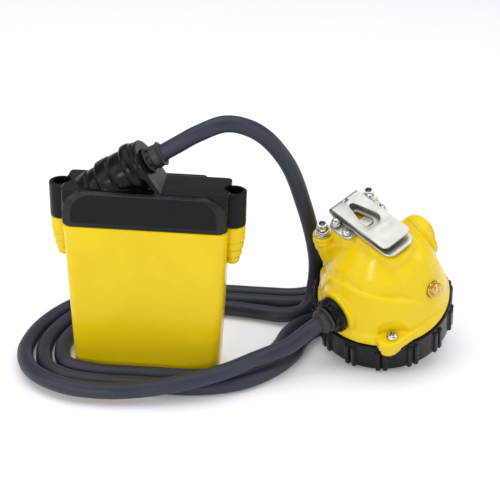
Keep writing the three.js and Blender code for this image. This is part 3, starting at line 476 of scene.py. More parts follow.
def case_ring(z, shrink):
    """The case's outline at this height, moved in by the shrink."""
    drop = 1 - z / SEAM_Z
    outline = rounded_box(-CASE_HALF_WIDTH + shrink, CASE_HALF_WIDTH - shrink, CASE_FRONT + shrink,
                          CASE_BACK - shrink, CASE_CORNER - 0.6 * shrink)
    return [(x * (1 - drop * CASE_DRAFT_X / CASE_HALF_WIDTH), y * (1 - drop * CASE_DRAFT_Y / CASE_BACK), z)
            for x, y in outline]


base_edge = arc(CASE_BASE_EDGE, CASE_BASE_EDGE, -CASE_BASE_EDGE, -CASE_BASE_EDGE, 0, 90, 6)
case_body = skinned([case_ring(z, shrink) for z, shrink in
                     base_edge + [(SEAM_Z - 0.35, 0), (SEAM_Z, 0.25)]])
case_inside = skinned([case_ring(z, CASE_WALL) for z in (CASE_FLOOR, SEAM_Z + 1)])
ears = [placed(turned([(0, EAR_RIBS[0][1])] + EAR_RIBS + [(0, SEAM_Z)], edge=0.7), ear) for ear in EARS]
face, slot_face = CASE_BACK - 1, BRIDGE_OUT - BRIDGE_THICK
bridge_side = [
    (face, BRIDGE_LOW), (BRIDGE_OUT - 3, BRIDGE_LOW), (BRIDGE_OUT, BRIDGE_LOW + 4),
    (BRIDGE_OUT, BRIDGE_HIGH - 4), (BRIDGE_OUT - 3, BRIDGE_HIGH), (face, BRIDGE_HIGH),
    (face, BRIDGE_HIGH - BRIDGE_FOOT), (slot_face, BRIDGE_HIGH - BRIDGE_FOOT),
    (slot_face, BRIDGE_LOW + BRIDGE_FOOT), (face, BRIDGE_LOW + BRIDGE_FOOT),
]
bridge = placed(slab(eased(bridge_side, 0.9, closed=True), -BRIDGE_HALF, BRIDGE_HALF, 0.8),
                axes((0, 1, 0), (0, 0, 1), (1, 0, 0)))
case_shape = carved(case_body, *ears, bridge, operation="UNION")
case_shape = carved(case_shape, case_inside,
                    *[rod(PILOT_RADIUS, PILOT_LOW, PILOT_HIGH, ear, sides=24) for ear in EARS])

# Moulded yellow ABS: a warm, fully saturated yellow with a satin gloss. The mould's spark-worn skin has
# a 0.1 mm grain, drawn at 0.7 mm so that it shows, and the gloss is rubbed lighter in soft patches.
yellow_abs, add, place = bare_material("moulded_yellow_abs")
drift = add("TexNoise", place, Scale=1 / 0.028, Detail=2, Roughness=0.55)
tone = add("MapRange", drift, From_Min=0.35, From_Max=0.65)
body_colour = add("MixRGB", tone, "#ECCB0C", "#F0D114")
# painted shade: hollows and inner corners, where the surface is less than flat, are painted a deeper yellow
edges = add("MapRange", add("NewGeometry").outputs["Pointiness"], From_Min=0.44, From_Max=0.5)
colour_with_painted_shade = add("MixRGB", edges, "#D9AE08", body_colour)
skin = add("TexNoise", place, Scale=1 / 0.0007, Detail=2)
rubbed = add("TexNoise", place, Scale=1 / 0.009, Detail=4, Roughness=0.6)
gloss = add("MapRange", rubbed, From_Min=0.35, From_Max=0.65, To_Min=0.2, To_Max=0.28)
relief = add("Bump", Height=skin, Distance=0.00002, Strength=0.35)
add("OutputMaterial", add("BsdfPrincipled", colour_with_painted_shade, Roughness=gloss, Normal=relief, IOR=1.54,
                          Specular_IOR_Level=0.24))

fitted("yellow_battery_case", case_shape, yellow_abs, "battery_case")


# --- The battery cover ---
# One black ABS moulding: a lid with a screw ear at each end, a raised front panel with a broad bevel, a
# raised strip at the back, and a tower of stacked cups that carries the cable out at a slope.

COVER_HALF_WIDTH, COVER_FRONT, COVER_TOP, COVER_CORNER, COVER_ROOF = 41.2, -12.1, 102.7, 2.4, 3
COVER_BASE = SEAM_Z + 0.3
EAR_RADIUS, EAR_TOP, WELL_RADIUS, WELL_FLOOR = 6.5, 101.9, 4.7, 88
EAR_ROOTS, EAR_ROOT_HALF = ((-42, -37), (37, 42)), 4.4
STRIP_HALF, STRIP_PROUD = 28, 4
PANEL_OUTER = (40.4, 0.15, 18.9, 12.5, 10.4, 2.0)
PANEL_INNER = (36.0, 2.6, 18.3, 10.6, 10.9, 0.6)
PANEL_FACE, PANEL_EDGE, PANEL_BACK, PANEL_SKIRT = -14.5, COVER_FRONT - 0.3, -9.5, 1.1
FLANGE_HALF, FLANGE_RISE, FLANGE_THICK, FLANGE_DROP = 13, 11.4, 2.2, 24
WEB_HALF, WEB_BACK, WEB_FRONT = 8.5, -30, 7
# each cup of the tower, as where it starts along the cable's slope and its radius there and at its lip
TOWER_CUPS = [
    (-46, 8.2, 9.3), (-38.5, 9.7, 10.9), (-30.5, 10.3, 10.4), (-25, 12, 11.9), (-17, 11.6, 11.2),
    (-9.6, 13, 12.7), (-4.8, 11.9, 11.6),
]
TOWER_END_Z = -2


def aimed(point, direction):
    """Takes a shape's +Z to a direction, and its origin to a point."""
    turn = Vector((0, 0, 1)).rotation_difference(direction).to_matrix().to_4x4()
    return Matrix.Translation(point) @ turn


TOWER = aimed(TOWER_END, TOWER_AXIS)


def panel_edge(half, low, high, reach_x, reach_z, chamfer):
    """The panel's outline seen from the front: chamfered below, with a quarter ellipse at each top corner."""
    side = [(half - chamfer, low), (half, low + chamfer)]
    side += arc(half - reach_x, high - reach_z, reach_x, reach_z, 0, 90, 12)
    return side + [(-x, z) for x, z in side[::-1]]


cover_body = slab(rounded_box(-COVER_HALF_WIDTH, COVER_HALF_WIDTH, COVER_FRONT, CASE_BACK, COVER_CORNER),
                  COVER_BASE, COVER_TOP)
back_strip = slab(rounded_box(-STRIP_HALF, STRIP_HALF, 0, CASE_BACK + STRIP_PROUD, 2), COVER_BASE + 4,
                  COVER_TOP - 0.8)
panel = skinned([[(x, y - skirt * max(0, 1 - z / 4), SEAM_Z + z) for x, z in panel_edge(*edge)]
                 for y, edge, skirt in ((PANEL_BACK, PANEL_OUTER, 0), (PANEL_EDGE, PANEL_OUTER, PANEL_SKIRT),
                                        (PANEL_FACE, PANEL_INNER, 0))])
cover_ears = [rod(EAR_RADIUS, COVER_BASE, EAR_TOP, ear, sides=64, edge=0.5) for ear in EARS]
ear_roots = [slab(rounded_box(*ends, EAR_Y - EAR_ROOT_HALF, EAR_Y + EAR_ROOT_HALF, 1), COVER_BASE, EAR_TOP)
             for ends in EAR_ROOTS]

cups = [(0, TOWER_CUPS[0][0])]
for (start, low, lip), (end, _, _) in zip(TOWER_CUPS, TOWER_CUPS[1:] + [(TOWER_END_Z, 0, 0)]):
    cups += [(low - 1.1, start), (low, start + 0.9), ((low + lip) / 2 + 0.15, (start + end) / 2),
             (lip, end - 0.7), (lip - 0.6, end - 0.1), (low - 1.1, end)]
cups.append((0, TOWER_END_Z))
stack = placed(turned(cups, edge=0.3), TOWER)

# the end plate of the tower runs down to the roof's front edge as a gusset
flange_line = arc(0, 0, FLANGE_HALF, FLANGE_RISE, 0, 180, 30)
flange_line += [(-FLANGE_HALF, -FLANGE_DROP), (FLANGE_HALF, -FLANGE_DROP)]
flange = placed(slab(flange_line, -FLANGE_THICK, 0),
                axes((0, 1, 0), TOWER_AXIS.cross((0, 1, 0)), TOWER_AXIS), Matrix.Translation(TOWER_END))
web_side = [(WEB_BACK, COVER_TOP - 1.5), (WEB_FRONT, COVER_TOP - 1.5), (TOWER_END.x - 1, TOWER_END.z),
            (WEB_BACK + 8, COVER_TOP + 1.5)]
web = placed(slab(web_side, -TOWER_END.y - WEB_HALF, WEB_HALF - TOWER_END.y, 0.4),
             axes((1, 0, 0), (0, 0, 1), (0, -1, 0)))
below_roof = block(-80, 80, -50, 50, 40, COVER_TOP - 0.6)
tower = carved(carved(stack, flange, web, operation="UNION"), below_roof)

cover_inside = skinned([case_ring(z, CASE_WALL + 3.8) for z in (SEAM_Z - 7, COVER_TOP - COVER_ROOF)])
cover_lip = skinned([case_ring(z, CASE_WALL + 2) for z in (SEAM_Z - 5.5, COVER_BASE + 2)])
cover_shape = moulded(gathered(cover_body, back_strip, panel, tower, *cover_ears, *ear_roots), 0.4, 2)
wells = [rod(radius, low, high, ear, sides=48) for ear in EARS for radius, low, high in
         ((WELL_RADIUS, WELL_FLOOR, EAR_TOP + 2.1), (PILOT_RADIUS, COVER_BASE - 3.8, PILOT_HIGH))]
cable_bore = rod(CABLE_RADIUS + 0.6, -22, 2, TOWER, sides=48)
cover_shape = carved(cover_shape, cover_lip, operation="UNION")
cover_shape = carved(cover_shape, cover_inside, cable_bore, *wells)

# Moulded black ABS: very dark with a cool cast and satin, with a painted highlight of grey along the edges,
# broken up in patches, and a painted reflection that makes the panel's bevel lighter. The 0.1 mm grain is
# drawn at 0.6 mm to show.
black_abs, add, place = bare_material("moulded_black_abs")
# painted highlight: the edges are painted grey, broken up in patches
edges = add("MapRange", add("NewGeometry").outputs["Pointiness"], From_Min=0.53, From_Max=0.6, To_Max=0.7)
handling_and_highlight_patches = add("TexNoise", place, Scale=1 / 0.012, Detail=4, Roughness=0.65)
spread = add("MapRange", handling_and_highlight_patches, From_Min=0.35, From_Max=0.65)
painted_edge_highlight = add("Math", edges, spread, operation="MULTIPLY")
# painted reflection: the panel's bevel is painted lighter than its dark field
front = add("SeparateXYZ", place).outputs["Y"]
behind_face = add("MapRange", front, From_Min=PANEL_FACE * MM, From_Max=(PANEL_FACE + 0.1) * MM)
before_lid = add("MapRange", front, From_Min=PANEL_EDGE * MM, From_Max=(PANEL_EDGE + 0.1) * MM, To_Min=1,
                 To_Max=0)
on_bevel = add("Math", behind_face, before_lid, operation="MULTIPLY")
field_and_painted_bevel_light = add("MixRGB", on_bevel, "#0A0B0F", "#26272C")
body_colour = add("MixRGB", painted_edge_highlight, field_and_painted_bevel_light, "#505056")
gloss = add("MapRange", handling_and_highlight_patches, From_Min=0.3, From_Max=0.7, To_Min=0.22, To_Max=0.34)
skin = add("TexNoise", place, Scale=1 / 0.0006, Detail=2)
relief = add("Bump", Height=skin, Distance=0.00002, Strength=0.4)
add("OutputMaterial", add("BsdfPrincipled", body_colour, Roughness=gloss, Normal=relief, IOR=1.54,
                          Specular_IOR_Level=0.17))

fitted("black_battery_cover", cover_shape, black_abs, "battery_cover")


# --- The cover's two screws ---
# M4 socket-head screws of plated steel, one down each ear's well, which clamp the cover to the case.

SCREW_SEAT = WELL_FLOOR + 0.3
SCREW_RADIUS, SCREW_LENGTH, HEAD_RADIUS, HEAD_HEIGHT, SOCKET_RADIUS = 2, 17, 3.6, 4, 1.75
# Bright zinc plate on steel: smooth and slightly blue, with a bloom of finger marks in its gloss.
plated_steel, add, place = bare_material("bright_zinc_plated_steel")
bloom = add("TexNoise", place, Scale=1 / 0.0018, Detail=3, Roughness=0.6)
tone = add("MapRange", bloom, From_Min=0.35, From_Max=0.65)
plate = add("MixRGB", tone, "#B9B9B4", "#D9DADB")
gloss = add("MapRange", bloom, From_Min=0.3, From_Max=0.7, To_Min=0.14, To_Max=0.27)
add("OutputMaterial", add("BsdfPrincipled", plate, Roughness=gloss, Metallic=1))


def hexagon(radius):
    return arc(0, 0, radius, radius, 0, 300, 5)


for ear, name in zip(EARS, ("left", "right")):
    screw = turned([(0, -SCREW_LENGTH), (1.5, -SCREW_LENGTH), (SCREW_RADIUS, 1 - SCREW_LENGTH),
                    (SCREW_RADIUS, 0), (HEAD_RADIUS, 0), (HEAD_RADIUS, HEAD_HEIGHT), (0, HEAD_HEIGHT)],
                   40, 0.4, base=SCREW_SEAT)
    socket = slab(hexagon(SOCKET_RADIUS), SCREW_SEAT + 1.8, SCREW_SEAT + 6, 0.05)
    fitted(f"ear_screw_{name}", carved(screw, socket), plated_steel, f"cover_screw_{name}",
           ear)


# --- The tower's collar ---
# A moulded rubber sleeve that grips the cable: a slotted, flexible root, then a smooth collar with a
# thin flared rim that fits tight on the sheath.

COLLAR_SLOTS, SLOT_HALF = 9, 0.75
COLLAR_PROFILE = [
    (4.3, 0.3), (6.8, 0.3), (6.8, 1.4), (5.6, 1.8), (5.6, 3.4), (6.1, 3.8), (5.8, 6.8), (5.8, 7.2),
    (6.4, 7.7), (6.4, 8.1), (4.8, 8.3), (4.7, 9.3), (4.3, 9.3),
]
collar = turned(COLLAR_PROFILE, 72, 0.25, hollow=True)


def turned_about(angle):
    return Matrix.Rotation(angle, 4, "Z")


slots = [placed(block(4.8, 8, -SLOT_HALF, SLOT_HALF, 1.5, 3.6), turned_about(2 * pi * k / COLLAR_SLOTS))
         for k in range(COLLAR_SLOTS)]
collar = carved(collar, gathered(*slots))

# Moulded neoprene: matt black, with a dry bloom that greys it in patches and a slightly open skin.
seal_rubber, add, place = bare_material("moulded_neoprene")
bloom = add("TexNoise", place, Scale=1 / 0.006, Detail=4, Roughness=0.6)
dry = add("MapRange", bloom, From_Min=0.4, From_Max=0.7)
tone = add("MixRGB", dry, "#1D1E21", "#2E3035")
pores = add("TexNoise", place, Scale=1 / 0.0005, Detail=3)
relief = add("Bump", Height=pores, Distance=0.00003, Strength=0.5)
add("OutputMaterial", add("BsdfPrincipled", tone, Roughness=0.48, Normal=relief, IOR=1.52))
fitted("cable_collar", collar, seal_rubber, "tower_collar", place=TOWER)


# --- The headpiece housing ---
# One yellow ABS moulding: two domes that run into each other, with bosses for the gland, the stud, the
# switch and the charging posts, a shoulder under the clip and a lug that hangs over the bezel ring.
# Its own Z runs along the lamp's optical axis, out of the back.

SKIRT = [(0, 0.05), (36, 0.05), (36, 3.6), (35.2, 5), (32.6, 7.6), (29, 10.6), (22, 15), (0, 18)]
DOME = [
    (0, 0), (30.2, 0), (30.2, 9), (29.6, 13), (28.4, 18), (26.4, 24), (24.9, 28), (24.1, 31), (23.2, 33.2),
    (21.6, 35.3), (19.6, 37.4), (16.4, 41), (12.6, 44.6), (0, 46.5),
]
DOME_PLACE = (-1.2, 0.2, 0)
SIDE_DOME = [(0, 0), (26, 0), (25.4, 8), (24.2, 14), (22.6, 19.4), (20.3, 27), (18.7, 31.5), (17, 35.6),
             (14.9, 39.4), (12.6, 42), (8, 44.2), (0, 45)]
SIDE_DOME_PLACE = (9.3, 0.2, 0)
LOBE = [(0, 0.05), (34.6, 0.05), (33.6, 5), (32.2, 11), (30.8, 17), (29.3, 23), (27.9, 28.4), (26.8, 31.6),
        (0, 31.6)]
LOBE_ANGLE = radians(-111)
LOBE_OUTLINE = [(-31, -1), (33, -1), (32.4, 14), (27.4, 22), (20.4, 26.4), (12.1, 29), (6.7, 30.2),
                (0, 30.6), (-5.6, 30.2), (-10.9, 28.9), (-16.5, 26), (-22, 21.2), (-26.5, 15), (-29.6, 7)]
FLANK_ANGLE, FLANK = radians(17.5), -32.6
HOUSING_TOP, NECK_RADIUS, NECK_DEPTH = 46.5, 34.1, 9
HOUSING_CAVITY = [
    (0, -10), (31.6, -10), (31.6, 3), (27.3, 5.5), (27.3, 12.5), (25.4, 12.5), (24.4, 24), (18, 36),
    (9, 42.6), (0, 43.4),
]
GLAND_BOSS = [
    (0, 4), (17.4, 4), (17.2, 17), (16.6, 21), (15.2, 25.4), (13.7, 28.6), (12.9, 30.2), (12.4, GLAND_FACE),
    (0, GLAND_FACE),
]
STUD_ANGLE, STUD_LIFT, STUD_HEIGHT, STUD_SEAT = radians(-17), radians(22), 9.3, 31.8
STUD_BOSS = [(0, 8), (10.4, 8), (9.8, 22), (9.2, 27.5), (8.2, 30.4), (7.2, STUD_SEAT), (0, STUD_SEAT)]
KNOB_ANGLE, KNOB_LIFT, KNOB_CENTRE = radians(47), radians(10), (14.3, 15, 30)
KNOB_RADIUS, KNOB_SEAT = 12.2, 1.53
CLIP_ANGLE = radians(148)
POST_PLACE, POST_BOSS_TOP = (26, 16.6), 41
POST_BOSS = [
    (0, 30), (4.6, 31), (4.8, 34), (4.9, 35.4), (5.5, 36.2), (5.5, 37.6), (4.9, 38.2), (4.9, 38.8),
    (5.4, 39.4), (5.4, 40.4), (5, POST_BOSS_TOP), (0, POST_BOSS_TOP),
]
# how far a post's boss leans in and aside for each mm of height, and where it starts
LEAN_IN, LEAN_ASIDE = (0.14, -5.2), (0.09, -3.3)
CLIP_SCREW, BRACKET_SCREW = (12.5, 12.2), (20.5, 12.2)
LUG_ANGLE, LUG_SCREW_RADIUS, LUG_TOP = radians(-68), 34.8, 6.4
BEZEL_RADIUS = 37.2


def outward(angle, lift=0):
    """The direction out from the optical axis at this angle, and this far towards the back."""
    return Vector((cos(angle) * cos(lift), sin(angle) * cos(lift), sin(lift)))


GLAND = aimed((0, 0, GLAND_HEIGHT), outward(GLAND_ANGLE))
STUD = aimed((0, 0, STUD_HEIGHT), outward(STUD_ANGLE, STUD_LIFT))
KNOB = aimed(KNOB_CENTRE, outward(KNOB_ANGLE, KNOB_LIFT))
CLIP = turned_about(CLIP_ANGLE)
LUG = turned_about(LUG_ANGLE)
LUG_SCREW = LUG @ Matrix.Translation((LUG_SCREW_RADIUS, 0, 0))


def at_clip(place, side, height=0):
    """A place beside the clip, in the clip's own directions."""
    return CLIP @ Matrix.Translation((place[0], side * place[1], height))


soft_lug = [
    (24, -9), (35.6, -8.2), (38.8, -7.3), (40.6, -4.6), (41.1, -2), (40.6, 0.8), (38.6, 4.4), (34.6, 11),
    (30, 19), (22, 19),
]
over_lug = [(31.2, -6.4), (32.6, -7.8), (46, -8), (46, 6), (36, 21), (32.4, 16), (31.2, 6)]
lug_skirt = [(37.5, -6.8), (39.4, -6.2), (40.7, -4.2), (41, -2), (40.2, 0.8), (37.5, 4.6)]
below_skirt = block(-60, 60, -60, 60, -30, 0)
beside_flank = placed(block(-60, FLANK, -60, 60, 0.4, 60), turned_about(FLANK_ANGLE))
lobe_view = axes(outward(LOBE_ANGLE + pi / 2), (0, 0, 1), outward(LOBE_ANGLE))
lobe_reach = placed(slab(LOBE_OUTLINE, 6, 60, 0.1), lobe_view)


def leaning(side):
    """Leans a post's boss in towards the dome as it goes down."""
    aside = [side * part for part in LEAN_ASIDE]
    return at_clip(POST_PLACE, side) @ Matrix(((1, 0, *LEAN_IN), (0, 1, *aside), (0, 0, 1, 0), (0, 0, 0, 1)))


main_body = gathered(
    turned(SKIRT, 96, 1.5), placed(turned(DOME, 96, 2.2), Matrix.Translation(DOME_PLACE)),
    placed(turned(SIDE_DOME, 96, 2), Matrix.Translation(SIDE_DOME_PLACE)),
    carved(placed(turned(GLAND_BOSS, 80, 1.2), GLAND), below_skirt),
    carved(turned(LOBE, 96, 1.5), lobe_reach, operation="INTERSECT"),
    placed(turned(STUD_BOSS, 64, 1), STUD),
    placed(turned([(0, -16), (KNOB_RADIUS, -12), (KNOB_RADIUS, 3.4), (0, 3.4)], 64, 0.4), KNOB),
    placed(slab(rounded_box(-18.4, 30, -10.5, 10.5, 9), 24, HOUSING_TOP, 2), CLIP),
    placed(slab(rounded_box(8, 24.6, -15, 15, 3), 26, HOUSING_TOP, 1), CLIP),
    *[placed(turned([(0, 12), (2.4, 13), (4, 20), (4.9, 30), (5, 37), (0, 37)], 48, 0.5), leaning(side))
      for side in (-1, 1)],
    *[placed(turned([(0, 15), (1.2, 16), (5, 32), (5.2, 36), (0, 36.5)], 48, 0.5),
             at_clip((23.4, 13.2), side))
      for side in (-1, 1)])
main_body = carved(moulded(main_body, 0.8, 2), placed(slab(over_lug, LUG_TOP, 26, 0.1), LUG), beside_flank)
neck = turned([(20, -NECK_DEPTH), (NECK_RADIUS, -NECK_DEPTH), (NECK_RADIUS, 3), (20, 3)], 96, 0.3,
              hollow=True)
crisp_parts = [
    carved(turned([(0, 0.05), (36, 0.05), (36, 3.4), (34, 4.6), (0, 4.6)], 96, 0.5), beside_flank), neck,
    placed(slab(soft_lug, 0.1, LUG_TOP, 0.9), LUG), placed(slab(lug_skirt, -2.8, 3, 1), LUG),
    *[placed(turned(POST_BOSS, 48, 0.35), at_clip(POST_PLACE, side)) for side in (-1, 1)],
    placed(turned([(0, 20), (12.6, 20), (12.9, 31.4), (12.4, GLAND_FACE), (0, GLAND_FACE)], 64, 0.4), GLAND),
    placed(turned([(0, 16), (8.9, 20), (8.6, 29), (7.8, 31), (7, STUD_SEAT), (0, STUD_SEAT)], 64, 0.4), STUD),
]
housing_shape = moulded(gathered(main_body, *crisp_parts), 0.5, 2)
# each seat is cut a little below its face, so that no two surfaces lie in one plane
BITE = 0.07
bores = [
    turned(HOUSING_CAVITY, 72, 0.8),
    rod(4.5, -14, 6, KNOB), rod(KNOB_RADIUS + 0.4, KNOB_SEAT, 30, KNOB),
    rod(10.3, GLAND_FACE - BITE, 60, GLAND), rod(5, 15, GLAND_FACE + 1, GLAND),
    rod(4.7, STUD_SEAT - BITE, 50, STUD), rod(2.5, 15, 36, STUD),
    rod(3.3, LUG_TOP - BITE, 9, LUG_SCREW), rod(2.2, -10, 8, LUG_SCREW),
    *[rod(radius, low, high, at_clip(place, side)) for side in (-1, 1) for radius, low, high, place in
      ((4.7, POST_BOSS_TOP - BITE, 60, POST_PLACE), (2.2, 28, 50, POST_PLACE), (1.7, 38, 50, CLIP_SCREW),
       (1.7, 32, 50, BRACKET_SCREW))],
]
housing_shape = carved(housing_shape, *bores)
fitted("yellow_headpiece_housing", housing_shape, yellow_abs, "headpiece_housing", place=HEAD)


# --- The bezel ring ---
# A black ABS ring that screws over the housing's neck and clamps the lens. Pairs of ribs round it give
# gloved fingers a grip, below a plain collar.

RIB_PAIRS, RIB_SPREAD, RIB_HALF, RIB_RISE, RIB_PHASE = 14, 0.05, 1.3, 1.5, 0.06
BEZEL_DEPTH, GLASS_SEAT = 19.8, -16
bezel = turned([(34.4, -0.3), (BEZEL_RADIUS, -0.3), (BEZEL_RADIUS, 1 - BEZEL_DEPTH),
                (BEZEL_RADIUS - 1.4, -BEZEL_DEPTH), (32.4, -BEZEL_DEPTH), (30.4, GLASS_SEAT),
                (34.4, GLASS_SEAT)], 144, 0.4, hollow=True)
OUT_OF_RIM = axes((0, 0, -1), (0, 1, 0), (1, 0, 0))
rib_angles = [LUG_ANGLE + RIB_PHASE + (pair + 0.5) * 2 * pi / RIB_PAIRS + offset
              for pair in range(RIB_PAIRS) for offset in (-RIB_SPREAD, RIB_SPREAD)]
ribs = [placed(slab(rounded_box(2.8, BEZEL_DEPTH - 0.9, -RIB_HALF, RIB_HALF, 0.7, 4), BEZEL_RADIUS - 1,
                    BEZEL_RADIUS + RIB_RISE, 0.4), OUT_OF_RIM, turned_about(angle)) for angle in rib_angles]
bezel = carved(moulded(gathered(bezel, *ribs), 0.42, 1), rod(2.2, -9, 1, LUG_SCREW))
fitted("ribbed_bezel_ring", bezel, black_abs, "bezel_ring", place=HEAD)


# --- The lens ---
# A flat disc of polycarbonate, 3.2 mm thick, held between the bezel's lip and a rubber gasket. It is
# clear, with faint swirls of haze where it has been wiped.

LENS_RADIUS, LENS_FRONT, LENS_THICK = 33.8, GLASS_SEAT + 0.3, 3.2
lens = rod(LENS_RADIUS, LENS_FRONT, LENS_FRONT + LENS_THICK, sides=96, edge=0.4)
polycarbonate, add, place = bare_material("polished_polycarbonate")
wiped = add("TexNoise", place, Scale=1 / 0.004, Detail=4, Distortion=1.5)
haze = add("MapRange", wiped, From_Min=0.4, From_Max=0.75, To_Min=0.02, To_Max=0.09)
add("OutputMaterial", add("BsdfPrincipled", "#F4F7F8", Roughness=haze, IOR=1.585,
                          Transmission_Weight=1))
fitted("clear_lens", lens, polycarbonate, "lens", place=HEAD)


# --- The reflector ---
# A thin moulded bowl, vacuum metallised inside, which seats on the end of the neck. The coat is a near
# perfect mirror with the slight orange peel of the lacquer under it.

THROAT, MOUTH, BOWL_TOP, BOWL_RIM, FLANGE_RADIUS, BOWL_STEPS = 7, 29.6, 6, -10.3, 33.6, 16
bowl = [(r, BOWL_TOP - (r * r - THROAT ** 2) / (MOUTH ** 2 - THROAT ** 2) * (BOWL_TOP - BOWL_RIM))
        for r in (THROAT + (MOUTH - THROAT) * k / BOWL_STEPS for k in range(BOWL_STEPS + 1))]
back = [(30.9, BOWL_RIM + 1)] + [(r + 1, z + 0.6) for r, z in bowl[-2::-1]]
reflector = turned(bowl + [(FLANGE_RADIUS, BOWL_RIM), (FLANGE_RADIUS, BOWL_RIM + 1)] + back, 96, 0,
                   hollow=True)
metallised, add, place = bare_material("vacuum_metallised_bowl")
peel = add("TexNoise", place, Scale=1 / 0.0025, Detail=1)
dust = add("TexNoise", place, Scale=1 / 0.0012, Detail=4)
gloss = add("MapRange", dust, From_Min=0.45, From_Max=0.8, To_Min=0.04, To_Max=0.14)
relief = add("Bump", Height=peel, Distance=0.00004, Strength=0.3)
add("OutputMaterial", add("BsdfPrincipled", "#E9EAEC", Roughness=gloss, Metallic=1, Normal=relief))
fitted("metallised_reflector", reflector, metallised, "reflector", place=HEAD)


# --- The light-emitting diode ---
# A surface-mount diode in the reflector's throat: a round resin dome over a yellow phosphor disc, on a
# white ceramic base.

EMITTER_TOP = 3.6
emitter = turned([(0, 0), (1.6, 0.3), (2.7, 1.1), (3.2, 2.2), (3.3, 2.8), (4.6, 2.9), (4.6, 3.6), (0, 3.6)],
                 64, 0.35, base=EMITTER_TOP)
# Phosphor under clear silicone: egg-yellow in the middle and paler to the white base, wet-looking.
phosphor, add, place = bare_material("phosphor_under_silicone")
grit = add("TexNoise", place, Scale=1 / 0.0004, Detail=2)
tone = add("MixRGB", grit, "#E9C944", "#F4E39A")
add("OutputMaterial", add("BsdfPrincipled", tone, Roughness=0.3, IOR=1.45, Coat_Weight=1,
                          Coat_Roughness=0.03))
fitted("diode_dome", emitter, phosphor, "led_emitter", place=HEAD)


# --- The switch ---
# A rotary switch at the back of the headpiece: a smooth domed cap of the housing's yellow ABS, with two
# finger scoops that leave a grip bar, on a plated shaft that turns with it.

SCOOP_TURN, SCOOP_ASIDE, SCOOP_UP, SHAFT_RADIUS = 0.6, 9.2, 13, 2.4
cap = turned([(0, 0), (KNOB_RADIUS + 0.1, 0), (KNOB_RADIUS + 0.1, 4.2), (KNOB_RADIUS * 0.97, 6.1),
              (KNOB_RADIUS * 0.87, 8.2), (KNOB_RADIUS * 0.68, 9.9), (KNOB_RADIUS * 0.36, 11),
              (0, 11.3)], 96, 0.35)
LYING = Matrix.Rotation(pi / 2, 4, "Y")
scoops = [placed(turned([(0, -8), (5.4, -8), (7.4, -6), (7.4, 6), (5.4, 8), (0, 8)], 56, 1.2), LYING,
                 Matrix.Translation((0, side * SCOOP_ASIDE, SCOOP_UP))) for side in (-1, 1)]
cap = carved(moulded(carved(cap, *scoops), 0.4, 2), block(-20, 20, -20, 20, -5, KNOB_SEAT + 0.1),
             rod(SHAFT_RADIUS + 0.3, 1, 7))
fitted("yellow_switch_cap", cap, yellow_abs, "switch_knob", body="switch",
       place=HEAD @ KNOB @ turned_about(SCOOP_TURN))
shaft = turned([(0, -13), (SHAFT_RADIUS - 0.4, -13), (SHAFT_RADIUS, -12.4), (SHAFT_RADIUS, 6.2),
                (SHAFT_RADIUS - 0.4, 6.6), (0, 6.6)], 48, 0.15)
fitted("plated_switch_shaft", shaft, plated_steel, "switch_shaft", body="switch",
       place=HEAD @ KNOB)


# --- The hat clip ---
# One strip of spring steel, 19 mm wide and 1.2 mm thick, folded back over itself: a plate below, and a
# blade above it with a teardrop keyhole, which snaps over the tongue of a helmet's lamp bracket.

CLIP_HALF_WIDTH, CLIP_THICK, CLIP_BREAK = 9.5, 1.2, 0.22
PLATE_Z, BLADE_GAP, FOLD_END = 48.4, 2.8, 28.4
PLATE_END, PLATE_CORNER, BLADE_END, BLADE_CORNER = -16, 5, -12.6, 3.4
KEYHOLE, PLATE_HOLE = (7.6, 5.3, 20.4, 1.9), (10.2, 3.6, 18.4, 1.2)
fold_radius = (BLADE_GAP + CLIP_THICK) / 2
fold_u = FOLD_END - fold_radius - CLIP_THICK / 2
plate_middle = PLATE_Z + CLIP_THICK / 2
fold_z = plate_middle + fold_radius
blade_middle = fold_z + fold_radius


def strip_end(end, corner, z, up):
    """The strip's rounded end: places along it, half widths there, and its upward direction."""
    return [((end + corner * (1 - cos(a)), z), CLIP_HALF_WIDTH - corner * (1 - sin(a)), (0, up))
            for a in (radians(7.5 * k) for k in range(1, 13))]


def strip_ring(middle, half, up):
    """A cross-section of the strip with its edges broken."""
    flat, rise = half - CLIP_BREAK, CLIP_THICK / 2
    side = rise - CLIP_BREAK
    corners = [(-half, -side), (-flat, -rise), (flat, -rise), (half, -side),
               (half, side), (flat, rise), (-flat, rise), (-half, side)]
    return [(middle[0] + up[0] * high, across, middle[1] + up[1] * high) for across, high in corners]


strip = strip_end(PLATE_END, PLATE_CORNER, plate_middle, 1)
strip += [((u, plate_middle), CLIP_HALF_WIDTH, (0, 1)) for u in (0, 12, fold_u - 0.1)]
strip += [((fold_u + fold_radius * sin(a), fold_z - fold_radius * cos(a)), CLIP_HALF_WIDTH,
           (-sin(a), cos(a))) for a in (radians(12 * k) for k in range(16))]
strip += [((u, blade_middle), CLIP_HALF_WIDTH, (0, -1)) for u in (fold_u - 0.1, 12, 0)]
strip += strip_end(BLADE_END, BLADE_CORNER, blade_middle, -1)[::-1]
clip = skinned([strip_ring(*row) for row in strip])


def teardrop(wide_u, wide_radius, narrow_u, narrow_radius):
    """A keyhole outline: a wide round end and a narrow one, joined by straight sides."""
    half = 90 - degrees(asin((wide_radius - narrow_radius) / (narrow_u - wide_u)))
    arcs = ((narrow_u, narrow_radius, -half, half), (wide_u, wide_radius, half, 360 - half))
    return [point for u, radius, start, end in arcs for point in arc(u, 0, radius, radius, start, end, 20)]


